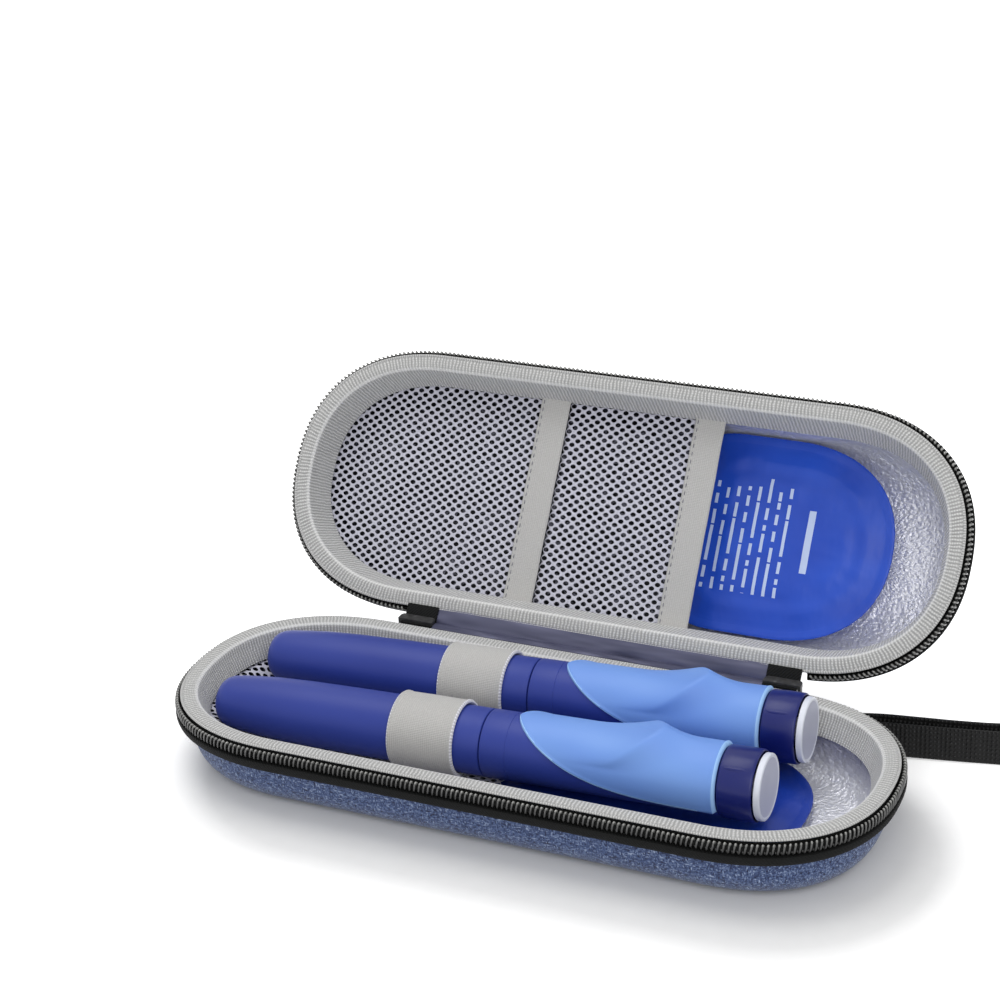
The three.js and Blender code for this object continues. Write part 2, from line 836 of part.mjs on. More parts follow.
// A patch that wraps over the top of the pen, from an inner radius to an outer one
function gripPatch(innerRadius, outerRadius, margin) {
  const points = [];
  const faces = [];
  const start = gripStart - margin;
  const end = margin > 0 ? gripEnd + cutOverrun : gripEnd;
  const tipTrim = margin > 0 ? 0 : penGap;
  for (let i = 0; i <= gripSteps; i += 1) {
    const place = start + tipTrim + ((end - start - tipTrim) * i) / gripSteps;
    const wrap = wrapAt(place, margin);
    for (let j = 0; j <= gripAngles; j += 1) {
      const angle = wrap * ((2 * j) / gripAngles - 1);
      for (const radius of [outerRadius(place, angle), innerRadius]) {
        points.push([place, radius * Math.sin(angle), radius * Math.cos(angle)]);
      }
    }
  }
  const at = (i, j, inner) => (i * (gripAngles + 1) + j) * 2 + inner;
  for (let i = 0; i < gripSteps; i += 1) {
    for (let j = 0; j < gripAngles; j += 1) {
      faces.push(quad(at(i, j, 0), at(i + 1, j, 0), at(i + 1, j + 1, 0), at(i, j + 1, 0)));
      faces.push(quad(at(i, j, 1), at(i, j + 1, 1), at(i + 1, j + 1, 1), at(i + 1, j, 1)));
    }
    const last = gripAngles;
    faces.push(quad(at(i, 0, 0), at(i, 0, 1), at(i + 1, 0, 1), at(i + 1, 0, 0)));
    faces.push(quad(at(i, last, 0), at(i + 1, last, 0), at(i + 1, last, 1), at(i, last, 1)));
  }
  for (let j = 0; j < gripAngles; j += 1) {
    const last = gripSteps;
    faces.push(quad(at(0, j, 0), at(0, j + 1, 0), at(0, j + 1, 1), at(0, j, 1)));
    faces.push(quad(at(last, j, 0), at(last, j, 1), at(last, j + 1, 1), at(last, j + 1, 0)));
  }
  return surface(points, faces);
}

function ringGeometry() {
  const mouth = ringEnd - buttonTravel - penGap;
  const recess = ringRadius - ringWall;
  return turnedRing([
    [ringStart, neckRadius + penGap],
    [ringStart, ringRadius - ringEdge],
    [ringStart + ringEdge, ringRadius],
    [ringEnd - ringEdge, ringRadius],
    [ringEnd, ringRadius - ringWall / 2],
    [ringEnd, recess],
    [mouth, recess],
    [mouth, neckRadius + penGap],
  ]);
}

function buttonGeometry() {
  const radius = ringRadius - ringWall - penGap;
  return turned([
    [buttonStart - stemLength, 0],
    [buttonStart - stemLength, stemRadius],
    [buttonStart, stemRadius],
    [buttonStart, radius],
    [penLength - buttonEdge, radius],
    [penLength, radius - buttonEdge],
    [penLength, 0],
  ]);
}

function holderGeometry() {
  return turnedRing([
    [holderStart, holderMouth - cartridgeWall],
    [holderStart, holderMouth],
    [cartridgeStart, holderRadius],
    [holderEnd, holderRadius],
    [holderEnd, holderBore],
    [cartridgeStart + cartridgeWall, holderBore],
  ], innerSides);
}

function cartridgeGeometry() {
  const bore = cartridgeRadius - cartridgeWall;
  const start = cartridgeStart + cartridgeWall + penGap;
  return turned([
    [start, 0],
    [start, cartridgeRadius],
    [cartridgeEnd, cartridgeRadius],
    [cartridgeEnd, bore],
    [start + cartridgeWall, bore],
    [start + cartridgeWall, 0],
  ], innerSides);
}

function solidRod(start, end, radius) {
  return turned([[start, 0], [start, radius], [end, radius], [end, 0]], innerSides);
}

function addPen(name, seat) {
  const pen = new THREE.Group();
  const yaw = THREE.MathUtils.degToRad(seat.yaw);
  const pitch = THREE.MathUtils.degToRad(seat.pitch);
  pen.position.set(seat.x, seat.y, seat.z);
  pen.rotation.set(0, -pitch, yaw, "ZYX");
  insulinCase.add(pen);
  const plungerStart = plungerEnd - plungerLength;
  addPiece(pen, `pen_${name}_cap`, capGeometry(), "navy");
  addPiece(pen, `pen_${name}_cartridge_holder`, holderGeometry(), "clear");
  addPiece(pen, `pen_${name}_cartridge`, cartridgeGeometry(), "clear");
  addPiece(pen, `pen_${name}_plunger`, solidRod(plungerStart, plungerEnd, plungerRadius), "rubber");
  addPiece(pen, `pen_${name}_piston_rod`, solidRod(plungerEnd + penGap, rodEnd, rodRadius), "zinc");
  addPiece(pen, `pen_${name}_barrel`, barrelGeometry(), "navy");
  addPiece(pen, `pen_${name}_grip`, gripPatch(bedRadius + penGap, gripOuterRadius, 0), "grip");
  addPiece(pen, `pen_${name}_dose_ring`, ringGeometry(), "ring");
  addPiece(pen, `pen_${name}_injection_button`, buttonGeometry(), "button");
  addPiece(pen, `pen_loop_${name}`, loopGeometry(seat, pitch), "elastic");
}

// A closed elastic loop, flattened where it is sewn to the net
function loopGeometry(seat, pitch) {
  const outer = loopBore + loopThickness;
  const axisHeight = seat.z + loopStart * Math.sin(pitch);
  const flat = Math.min(axisHeight - baseNetTop - restGap, outer);
  const dip = Math.acos(flat / outer);
  const shape = new THREE.Shape();
  shape.absarc(0, 0, outer, dip - quarter, 3 * quarter - dip, false);
  const bore = new THREE.Path();
  bore.absarc(0, 0, loopBore, 0, 2 * Math.PI, true);
  shape.holes.push(bore);
  const geometry = extrudedAlongX(shape, loopWidth, loopSteps);
  geometry.translate(loopStart, 0, 0);
  return geometry;
}

// Hinge fabrics: a V from the base lining's edge, through the valley, to the lid lining's edge
function hingeStrip(left, right, thickness) {
  const lidEdge = new THREE.Vector3(0, -halfWidth - hingeMargin, -flangeThickness / 2);
  const tilt = hingeGroup.rotation.x;
  lidEdge.add(lidGroup.position).applyAxisAngle(new THREE.Vector3(1, 0, 0), tilt);
  const baseTop = [halfWidth + hingeMargin, baseHalf.depth];
  const valley = [hingeY, hingeZ - gussetSag];
  const lidTop = [hingeY + lidEdge.y, hingeZ + lidEdge.z];
  const across = [Math.sin(tilt) * thickness, -Math.cos(tilt) * thickness];
  const shape = shapeOf([
    baseTop,
    [baseTop[0], baseTop[1] - thickness],
    [valley[0], valley[1] - thickness],
    [lidTop[0] + across[0], lidTop[1] + across[1]],
    lidTop,
    valley,
  ]);
  const geometry = extrudedAlongX(shape, right - left);
  geometry.translate(left, 0, 0);
  return geometry;
}

// Slider: one plate in the valley of the hinge and one under it, joined by a neck past the tab's end, with
// two ears and a pin that carry the pull
const sliderFront = halfWidth + sliderSetback;
const lowerPlateTop = hingeZ - sliderMouth;
const sliderBack = sliderFront + sliderWidth;
const pinY = sliderBack + pullEyeRadius + restGap;
const pinZ = lowerPlateTop - sliderPlate / 2;

function boxBetween(low, high) {
  const size = low.map((value, i) => high[i] - value);
  const geometry = new THREE.BoxGeometry(...size);
  geometry.translate(...low.map((value, i) => value + size[i] / 2));
  return geometry;
}

function sliderGeometry(left, right, neckLeft) {
  const back = sliderBack;
  const inset = sliderRounding;
  const plate = new THREE.Shape();
  plate.moveTo(left, sliderFront);
  plate.lineTo(right, sliderFront);
  plate.lineTo(right, back - inset);
  plate.quadraticCurveTo(right, back, right - inset, back);
  plate.lineTo(left + inset, back);
  plate.quadraticCurveTo(left, back, left, back - inset);
  const settings = { depth: sliderPlate, bevelEnabled: false, curveSegments: cornerSteps };
  const upper = new THREE.ExtrudeGeometry(plate, settings);
  upper.translate(0, 0, hingeZ);
  const low = lowerPlateTop - sliderPlate;
  const neck = boxBetween(
    [neckLeft, sliderFront, low],
    [neckLeft + sliderNeck, back - inset, hingeZ + sliderPlate],
  );
  const lower = boxBetween([left, sliderFront, low], [right, back, lowerPlateTop]);
  const middle = (left + right) / 2;
  const earInside = pullWidth / 2 + restGap;
  const ears = [-1, 1].map((side) => {
    const inner = middle + side * earInside;
    const outer = inner + side * earThickness;
    return boxBetween(
      [Math.min(inner, outer), back - earThickness, low],
      [Math.max(inner, outer), pinY + pinRadius + earMargin, lowerPlateTop],
    );
  });
  const pin = new THREE.CylinderGeometry(pinRadius, pinRadius, 2 * earInside + earThickness, smallSides);
  pin.rotateZ(quarter);
  pin.translate(middle, pinY, pinZ);
  return joined(upper, neck, lower, ...ears, pin);
}

// A flat pull with an eye round the slider's pin
function pullGeometry(middle) {
  const half = pullThickness / 2;
  const opening = Math.asin(half / pullEyeRadius);
  const shape = new THREE.Shape();
  shape.absarc(0, 0, pullEyeRadius, opening - quarter, 3 * quarter - opening, false);
  shape.lineTo(-half, -pullLength);
  shape.lineTo(half, -pullLength);
  const eye = new THREE.Path();
  eye.absarc(0, 0, pinRadius + pullEyeGap, 0, 2 * Math.PI, true);
  shape.holes.push(eye);
  const geometry = extrudedAlongX(shape, pullWidth, smallSides);
  geometry.translate(middle - pullWidth / 2, pinY, pinZ);
  return geometry;
}

function anchorGeometry() {
  const geometry = new THREE.BoxGeometry(anchorLength, anchorThickness, anchorHeight);
  const topDepth = baseHalf.depth - anchorBottom - anchorHeight;
  const wall = halfWidth - outerInsetAt(baseHalf, topDepth) + restGap;
  geometry.translate(
    anchorLeft + anchorLength / 2,
    wall + anchorThickness / 2,
    anchorBottom + anchorHeight / 2,
  );
  return geometry;
}

function strapGeometry() {
  const route = new THREE.CatmullRomCurve3(strapRoute.map((point) => new THREE.Vector3(...point)));
  const high = strapWidth / 2;
  const thick = strapThickness / 2;
  const section = shapeOf([
    [-high, -thick + strapChamfer],
    [-high + strapChamfer, -thick],
    [high - strapChamfer, -thick],
    [high, -thick + strapChamfer],
    [high, thick - strapChamfer],
    [high - strapChamfer, thick],
    [-high + strapChamfer, thick],
    [-high, thick - strapChamfer],
  ]);
  const settings = { steps: strapSteps, extrudePath: route, bevelEnabled: false };
  return facingOut(new THREE.ExtrudeGeometry(section, settings));
}

// Base half
addPiece(baseGroup, "base_shell", shellGeometry(baseHalf), "heather");
addPiece(baseGroup, "base_foil_liner", linerGeometry(baseHalf), "foil");
addPiece(baseGroup, "base_rim_lining", liningGeometry(baseHalf), "lining");
addPiece(baseGroup, "base_zipper_tape", tapeGeometry(baseHalf, zipperRun), "black");
addPiece(baseGroup, "base_zipper_coil", coilGeometry(zipperRun), "black");
const baseNet = netGeometry(baseHalf, -caseLength, baseNetEdge, netHem);
addPiece(baseGroup, "base_net_pocket", sagged(baseNet), "net");
const basePack = gelGeometry(baseGelLeft, baseGelRight, gelSide(baseHalf, baseGelRise, 0));
const baseGel = addPiece(baseGroup, "base_gel_pack", basePack, "gel");
baseGel.position.z = baseGelRise - baseHalf.depth;
addPen("front", penFront);
addPen("rear", penRear);

// Lid half
addPiece(lidGroup, "lid_shell", shellGeometry(lidHalf), "heather");
addPiece(lidGroup, "lid_foil_liner", linerGeometry(lidHalf), "foil");
addPiece(lidGroup, "lid_rim_lining", liningGeometry(lidHalf), "lining");
addPiece(lidGroup, "lid_zipper_tape", tapeGeometry(lidHalf, lidZipperRun), "black");
addPiece(lidGroup, "lid_zipper_coil", coilGeometry(lidZipperRun), "black");
const outerNetRight = outerBandLeft + bandWidth;
const innerNetRight = innerBandLeft + bandWidth;
const outerNet = netGeometry(lidHalf, -caseLength, outerNetRight - restGap / 2, netHem);
const innerNet = netGeometry(lidHalf, outerNetRight + restGap / 2, innerNetRight, netHem);
addPiece(lidGroup, "lid_net_outer", outerNet, "net");
addPiece(lidGroup, "lid_net_inner", innerNet, "net");

function bandGeometry(left) {
  const reach = halfWidth - liningInset - restGap;
  const geometry = new THREE.BoxGeometry(bandWidth, 2 * reach, bandThickness);
  const height = -netDepth(lidHalf) + restGap + bandThickness / 2;
  geometry.translate(left + bandWidth / 2, 0, height);
  return geometry;
}
addPiece(lidGroup, "lid_band_outer", bandGeometry(outerBandLeft), "elastic");
addPiece(lidGroup, "lid_band_inner", bandGeometry(innerBandLeft), "elastic");
const lidPack = gelGeometry(lidGelLeft, lidGelRight, gelSide(lidHalf, lidGelRise, lidGelShift));
const lidGel = addPiece(lidGroup, "lid_gel_pack", lidPack, "gel");
lidGel.position.set(0, lidGelShift, -lidGelDepth);

// Hinge zone. Each tab starts a slider's neck away from the end of the coil.
const neckRoom = sliderNeck + 2 * restGap;
const tabLeft = -zipperEndLeft + neckRoom;
const tabRight = zipperEndRight - neckRoom - tabWidth;
const gussetLeft = tabLeft + tabWidth + restGap;
const gussetRight = tabRight - restGap;
addPiece(insulinCase, "hinge_gusset", hingeStrip(gussetLeft, gussetRight, gussetThickness), "gusset");
for (const [side, tab, neck] of [
  ["left", tabLeft, tabLeft - restGap - sliderNeck],
  ["right", tabRight, tabRight + tabWidth + restGap],
]) {
  const left = Math.min(tab, neck);
  const right = Math.max(tab + tabWidth, neck + sliderNeck);
  addPiece(insulinCase, `hinge_tab_${side}`, hingeStrip(tab, tab + tabWidth, tabThickness), "black");
  addPiece(insulinCase, `slider_${side}`, sliderGeometry(left, right, neck), "zinc");
  addPiece(insulinCase, `slider_pull_${side}`, pullGeometry((left + right) / 2), "zinc");
}

// Strap
addPiece(insulinCase, "strap_anchor", anchorGeometry(), "black");
addPiece(insulinCase, "wrist_strap", strapGeometry(), "black");

export default insulinCase;
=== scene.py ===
import math

import bmesh
import bpy
from mathutils import Matrix, Vector, noise


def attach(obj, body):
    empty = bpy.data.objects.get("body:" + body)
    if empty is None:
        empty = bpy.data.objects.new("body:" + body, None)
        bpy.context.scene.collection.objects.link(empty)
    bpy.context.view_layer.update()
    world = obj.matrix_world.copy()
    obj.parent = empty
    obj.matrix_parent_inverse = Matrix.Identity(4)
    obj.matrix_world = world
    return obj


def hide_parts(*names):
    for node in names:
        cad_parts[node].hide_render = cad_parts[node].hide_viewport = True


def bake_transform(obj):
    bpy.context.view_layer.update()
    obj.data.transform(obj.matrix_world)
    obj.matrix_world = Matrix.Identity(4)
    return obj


# Insulin cooling case, standing open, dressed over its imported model. Pieces are modelled in millimetres and
# placed in metres. Each half is modelled rim up, with the rim plane at height 0 and the floor below it.
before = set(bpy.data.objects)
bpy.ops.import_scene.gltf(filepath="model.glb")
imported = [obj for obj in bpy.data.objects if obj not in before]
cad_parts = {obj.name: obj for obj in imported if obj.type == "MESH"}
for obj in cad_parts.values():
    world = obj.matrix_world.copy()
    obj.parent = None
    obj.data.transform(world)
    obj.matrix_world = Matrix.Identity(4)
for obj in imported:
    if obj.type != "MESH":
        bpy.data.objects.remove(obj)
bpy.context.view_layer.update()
scene = bpy.context.scene


# Camera: the photograph's place and angle
def make_camera():
    camera = bpy.data.objects.new("camera", bpy.data.cameras.new("camera"))
    scene.collection.objects.link(camera)
    camera.data.sensor_width = 36
    camera.data.lens = 89.96
    camera.data.clip_start = 0.02
    place = Vector((0.24055, -0.52248, 0.36070))
    ahead = Vector((-0.3836, 0.8166, -0.4313)).normalized()
    right = Vector((0.9133, 0.4048, -0.0460))
    right = (right - ahead * right.dot(ahead)).normalized()
    turn = Matrix((right, right.cross(ahead), -ahead)).transposed()
    camera.matrix_world = Matrix.Translation(place) @ turn.to_4x4()
    scene.camera = camera


make_camera()


# Materials
def colour(code):
    """An sRGB hex colour as the linear values that a shader takes"""
    parts = [int(code[i:i + 2], 16) / 255 for i in (0, 2, 4)]
    linear = [p / 12.92 if p <= 0.04045 else ((p + 0.055) / 1.055) ** 2.4 for p in parts]
    return (*linear, 1)


def add(tree, kind, inputs=None, stops=(), out=0, **settings):
    """Adds a shader node with its settings, its links and its values, where text is a hex colour. Returns the
    output that out names, or all of them."""
    node = tree.nodes.new("ShaderNode" + kind)
    for name, value in settings.items():
        setattr(node, name, value)
    for name, value in (inputs or {}).items():
        if isinstance(value, bpy.types.NodeSocket):
            tree.links.new(value, node.inputs[name])
        else:
            node.inputs[name].default_value = colour(value) if isinstance(value, str) else value
    if stops:
        ramp = node.color_ramp
        while len(ramp.elements) < len(stops):
            ramp.elements.new(0.5)
        for element, (place, code) in zip(ramp.elements, stops):
            element.position = place
            element.color = colour(code)
    return node.outputs if out is None else node.outputs[out]


def new_finish(name, uv=None, **sockets):
    """A material with the shader's own sockets set, and what its patterns lie on: the piece's own map, or the
    object's space"""
    material = bpy.data.materials.new(name)
    material.use_nodes = True
    tree = material.node_tree
    for socket, value in sockets.items():
        tree.nodes["Principled BSDF"].inputs[socket.replace("_", " ")].default_value = value
    place = add(tree, "UVMap", uv_map=uv) if uv else add(tree, "TexCoord", out="Object")
    return material, tree, place


def finished(material, tone, height=None, relief=0.0):
    """Links the colour, and a bump from a height of 0 to 1 that stands for a relief in millimetres"""
    tree = material.node_tree
    shader = tree.nodes["Principled BSDF"]
    tree.links.new(tone, shader.inputs["Base Color"])
    if height is not None:
        bump = add(tree, "Bump", {"Height": height, "Distance": relief / 1000})
        tree.links.new(bump, shader.inputs["Normal"])
    return material


def threads(tree, source, spacings, detail=2.0, distortion=0.0):
    """Noise stretched to threads: spacings are the sizes in millimetres along X, Y and Z"""
    scaled = add(tree, "Mapping", {"Vector": source, "Scale": [1000 / s for s in spacings]})
    return add(tree, "TexNoise", {"Vector": scaled, "Scale": 1.0, "Detail": detail, "Distortion": distortion},
               out="Fac")


def ridges(tree, source, axis, spacing, phase=0.0):
    """Parallel ridges, 0 to 1, a spacing in millimetres apart along one axis of the coordinates"""
    along = add(tree, "SeparateXYZ", {"Vector": source}, out=axis)
    turns = add(tree, "Math", {0: along, 1: 2000 * math.pi / spacing, 2: phase}, operation="MULTIPLY_ADD")
    return add(tree, "MapRange", {"Value": add(tree, "Math", {0: turns}, operation="SINE"), "From Min": -1.0})


def mixed(tree, factor, first, second):
    """Two colours mixed; each is a hex code or a socket"""
    return add(tree, "Mix", {0: factor, 6: first, 7: second}, out=2, data_type="RGBA")


def blended(tree, factor, first, second):
    """Two heights or masks mixed"""
    return add(tree, "Mix", {0: factor, 2: first, 3: second}, data_type="FLOAT")


def heather_polyester():
    """Heather polyester cloth, woven from blue, navy and pale threads and moulded over foam: matt, speckled
    by short streaks of each colour. Its 0.25 mm threads are drawn 0.36 mm wide, so that they show."""
    cloth, tree, place = new_finish("heather_polyester_cloth", Roughness=0.92, Sheen_Weight=0.25)
    warp = threads(tree, place, (1.4, 0.36, 0.36))
    weft = threads(tree, place, (0.36, 0.9, 0.9))
    turn = threads(tree, place, (0.9, 0.9, 0.9), detail=3.0)
    swap = add(tree, "MapRange", {"Value": turn, "From Min": 0.42, "From Max": 0.58})
    height = blended(tree, swap, warp, weft)
    tone = add(tree, "ValToRGB", {"Fac": height}, stops=[
        (0.34, "0d152f"), (0.42, "27365f"), (0.51, "41547f"), (0.6, "64779e"), (0.7, "a6b4d0"),
    ])
    return finished(cloth, tone, height, 0.25)


def knitted_lining():
    """Grey knitted polyester lining: fine ribs across the rim, 1.05 mm apart, each broken into stitches. The
    crest where it turns down inside carries a painted highlight."""
    cloth, tree, place = new_finish("knitted_polyester_lining", "cloth", Roughness=0.88, Sheen_Weight=0.3)
    wander = threads(tree, place, (3.0, 2.0, 1.0))
    sway = add(tree, "Math", {0: wander, 1: 5.0}, operation="MULTIPLY")
    ribs = ridges(tree, place, "X", 1.05, sway)
    stitches = ridges(tree, place, "Y", 0.7, sway)
    body = add(tree, "Math", {0: ribs, 1: stitches}, operation="MULTIPLY")
    height = blended(tree, 0.45, ribs, body)
    pale = add(tree, "ValToRGB", {"Fac": height}, stops=[(0.0, "8b8b8a"), (0.45, "b6b6b5"), (1.0, "e4e4e3")])
    cloudy = threads(tree, place, (7.0, 7.0, 1.0))
    share = add(tree, "Math", {0: cloudy, 1: 0.5}, operation="MULTIPLY")
    tone = mixed(tree, share, pale, "c2c2c1")
    # Painted highlight: a pale band, towards f0f0ef, along the crest where the lining turns down inside
    across = add(tree, "SeparateXYZ", {"Vector": place}, out="Y")
    offset = add(tree, "Math", {0: across, 1: 0.0037}, operation="SUBTRACT")
    offset = add(tree, "Math", {0: offset}, operation="ABSOLUTE")
    crest = add(tree, "MapRange", {"Value": offset, "From Max": 0.0008, "To Min": 0.7, "To Max": 0.0})
    return finished(cloth, mixed(tree, crest, tone, "f0f0ef"), height, 0.22)


def ribbed_thread(name, spacing, dark, light, relief):
    """Overlocked or rolled edge in bulky polyester thread: matt, with a bead where each turn of it crosses"""
    cloth, tree, place = new_finish(name, "cloth", Roughness=0.8, Sheen_Weight=0.2)
    beads = ridges(tree, place, "X", spacing)
    return finished(cloth, mixed(tree, beads, dark, light), beads, relief)


def elastic_webbing():
    """Grey knitted elastic: fine cords run along the band, 0.6 mm apart, crossed by the picks of its weft"""
    cloth, tree, place = new_finish("knitted_elastic", "cloth", Roughness=0.85, Sheen_Weight=0.2)
    cords = ridges(tree, place, "Y", 0.6, threads(tree, place, (1.6, 6.0, 1.0)))
    height = blended(tree, 0.4, cords, ridges(tree, place, "X", 0.45))
    tone = mixed(tree, threads(tree, place, (0.5, 0.5, 1.0), detail=3.0), "b0afad", "d0cfcd")
    # Painted shade: darker, towards a09f9d, where the height is low between the cords and picks
    tone = mixed(tree, height, mixed(tree, 0.5, tone, "a09f9d"), tone)
    return finished(cloth, tone, height, 0.12)


def aluminium_foil():
    """Aluminium-coated film, glued over foam: crumpled and satin, pale, with painted lilac shade on the
    wall of the base's tray. Behind the nets, towards -X, it is painted dark, with a painted glint on each
    crest."""
    film, tree, place = new_finish("aluminium_coated_film", "cloth", Metallic=0.5, Roughness=0.34)
    creases = threads(tree, place, (1.7, 0.9, 1.0), detail=4.0, distortion=0.9)
    scaled = add(tree, "Mapping", {"Vector": place, "Scale": (700, 900, 1000)})
    dents = add(tree, "TexVoronoi", {"Vector": scaled, "Scale": 1.0}, feature="F1")
    height = blended(tree, 0.45, creases, dents)
    parts = add(tree, "SeparateXYZ", {"Vector": add(tree, "TexCoord", out="Object")}, out=None)
    # Mask for painted shade: the wall of the base's tray, high up and short of the lid
    rise = add(tree, "MapRange", {"Value": parts["Z"], "From Min": 0.006, "From Max": 0.014})
    tray = add(tree, "MapRange", {"Value": parts["Y"], "From Min": 0.04, "From Max": 0.036})
    wall = add(tree, "Math", {0: rise, 1: tray}, operation="MULTIPLY")
    # Pale film, with painted lilac shade, 9c9cb4, on that wall
    pale_with_wall_shade = mixed(tree, wall, mixed(tree, creases, "dfe1ee", "ffffff"), "9c9cb4")
    # Painted dark film, with a painted glint where its crests stand highest
    painted_dark_with_glint = add(tree, "ValToRGB", {"Fac": height}, stops=[
        (0.0, "08080b"), (0.5, "121218"), (0.62, "6f707c"),
    ])
    # Share of painted light: 0 towards -X, behind the nets, where the film is painted dark
    painted_light_share = add(tree, "MapRange", {"Value": parts["X"], "From Min": 0.012, "From Max": 0.024})
    return finished(film, mixed(tree, painted_light_share, painted_dark_with_glint, pale_with_wall_shade), height, 0.5)


def gel_film(name, dark, light, printed):
    """Blue nylon film filled with gel: smooth and lightly glossy, with soft creases. Plain pale bars stand
    where such packs carry their printed directions; the other pack has painted shade deep in the tray's front."""
    film, tree, place = new_finish(name, "plan", Roughness=0.42, Coat_Weight=0.1, Coat_Roughness=0.25,
                                   IOR=1.45)
    soft = threads(tree, place, (22.0, 14.0, 1.0), detail=1.0)
    fine = threads(tree, place, (5.0, 9.0, 1.0), detail=2.0)
    tone = mixed(tree, soft, dark, light)
    if printed:
        tone = mixed(tree, printed_bars(tree, place), tone, "c0d0f0")
    else:
        # Painted shade: the pack darkens to 060a30 deep in the tray's front
        parts = add(tree, "SeparateXYZ", {"Vector": place}, out=None)
        tray = add(tree, "MapRange", {"Value": parts["X"], "From Min": 0.067, "From Max": 0.055})
        front = add(tree, "MapRange", {"Value": parts["Y"], "From Min": -0.008, "From Max": -0.018})
        tone = mixed(tree, add(tree, "Math", {0: tray, 1: front}, operation="MULTIPLY"), tone, "060a30")
    return finished(film, tone, blended(tree, 0.25, soft, fine), 1.2)


def printed_bars(tree, place):
    """Rows of broken bars across the pack, 3.1 mm apart, with one thicker bar at their head, as 0 or 1"""
    parts = add(tree, "SeparateXYZ", {"Vector": place}, out=None)
    along = add(tree, "Math", {0: parts["X"], 1: 1000.0}, operation="MULTIPLY")
    across = add(tree, "Math", {0: parts["Y"], 1: 1000.0}, operation="MULTIPLY")

    def both(first, second):
        return add(tree, "Math", {0: first, 1: second}, operation="MULTIPLY")

    def within(value, low, high):
        return both(add(tree, "Math", {0: value, 1: low}, operation="GREATER_THAN"),
                    add(tree, "Math", {0: value, 1: high}, operation="LESS_THAN"))

    row = add(tree, "Math", {0: along, 1: 3.1}, operation="DIVIDE")
    number = add(tree, "Math", {0: row}, operation="FLOOR")
    depth = add(tree, "Math", {0: row}, operation="FRACT")
    chance = add(tree, "TexWhiteNoise", {"W": number}, out="Value", noise_dimensions="1D")
    ragged = add(tree, "Math", {0: chance, 1: -5.0, 2: 17.0}, operation="MULTIPLY_ADD")
    reach = add(tree, "Math", {0: across, 1: ragged}, operation="LESS_THAN")
    shifted = add(tree, "Math", {0: chance, 1: 40.0, 2: across}, operation="MULTIPLY_ADD")
    word = add(tree, "TexNoise", {"W": shifted, "Scale": 0.42, "Detail": 0.0}, out="Fac",
               noise_dimensions="1D")
    gap = add(tree, "Math", {0: word, 1: 0.4}, operation="GREATER_THAN")
    rows = both(within(along, 18.6, 46.5), within(depth, 0.32, 0.62))
    rows = both(both(rows, gap), both(within(across, -17, 17), reach))
    head = both(within(along, 50.9, 52.9), within(across, -9, 9))
    return add(tree, "Math", {0: rows, 1: head}, operation="MAXIMUM")


def twisted_yarn(name, twist, dark, light, relief, **sockets):
    """Polyester yarn with a faint gloss, with painted shade where its plies sink"""
    yarn, tree, place = new_finish(name, Roughness=0.6, **sockets)
    plies = threads(tree, place, (twist, twist, twist))
    return finished(yarn, mixed(tree, plies, dark, light), plies, relief)


def zipper_tape():
    """Black woven polyester tape: matt, with a fine herringbone, 0.7 mm apart, and rubbed in places"""
    cloth, tree, place = new_finish("woven_zipper_tape", "cloth", Roughness=0.8, IOR=1.3)
    slant = add(tree, "Mapping", {"Vector": place, "Rotation": (0, 0, math.radians(40))})
    twill = ridges(tree, slant, "X", 0.7)
    worn = threads(tree, place, (12.0, 2.0, 1.0))
    share = add(tree, "Math", {0: twill, 1: 0.5}, operation="MULTIPLY")
    tone = mixed(tree, worn, mixed(tree, share, "050606", "101112"), "0b0c0c")
    return finished(cloth, tone, twill, 0.12)


def nylon_coil():
    """Black nylon monofilament, wound and set: satin, paler up each turn to a painted highlight on its top"""
    nylon, tree, place = new_finish("nylon_monofilament", Roughness=0.3, Coat_Weight=0.4, IOR=1.53)
    worn = threads(tree, place, (2.5, 2.5, 2.5))
    height = add(tree, "Attribute", out="Fac", attribute_name="height")
    # Painted highlight: paler up each turn, from 0c0c0c low to d2d2ce on top
    tone = add(tree, "ValToRGB", {"Fac": height}, stops=[
        (0.0, "0c0c0c"), (0.5, "1e1e1d"), (0.8, "525250"), (1.0, "d2d2ce"),
    ])
    return finished(nylon, mixed(tree, worn, tone, "2a2a2a"), worn, 0.06)


def strap_webbing():
    """Black polyester webbing: ribs run across it, 1.35 mm apart, and yarns cross them"""
    cloth, tree, place = new_finish("polyester_webbing", "cloth", Roughness=0.6, IOR=1.35)
    yarn = ridges(tree, place, "Y", 1.1)
    rib = ridges(tree, place, "X", 1.35)
    height = add(tree, "Math", {0: yarn, 1: rib}, operation="MULTIPLY")
    fuzz = threads(tree, place, (0.5, 0.9, 1.0))
    crests = add(tree, "Math", {0: height, 1: fuzz}, operation="MULTIPLY")
    tone = add(tree, "ValToRGB", {"Fac": crests}, stops=[(0.0, "020202"), (0.3, "0b0b0c"), (0.6, "3a3a3c")])
    return finished(cloth, tone, height, 0.35)


def gusset_film():
    """Lilac-grey coated film, folded into the hinge: soft sheen with long creases"""
    film, tree, place = new_finish("coated_hinge_film", Roughness=0.38, Metallic=0.35)
    creases = threads(tree, place, (16.0, 2.4, 2.4), detail=1.0)
    return finished(film, mixed(tree, creases, "3a3c52", "62637c"), creases, 0.35)


def moulded_plastic(name, dark, light, grit, **sockets):
    """Injection-moulded plastic or rubber: one colour with the faint spark-eroded grain of its mould"""
    plastic, tree, place = new_finish(name, **sockets)
    grain = threads(tree, place, (grit, grit, grit), detail=3.0)
    broad = threads(tree, place, (30.0, 12.0, 12.0), detail=1.0)
    return finished(plastic, mixed(tree, broad, dark, light), grain, 0.02)


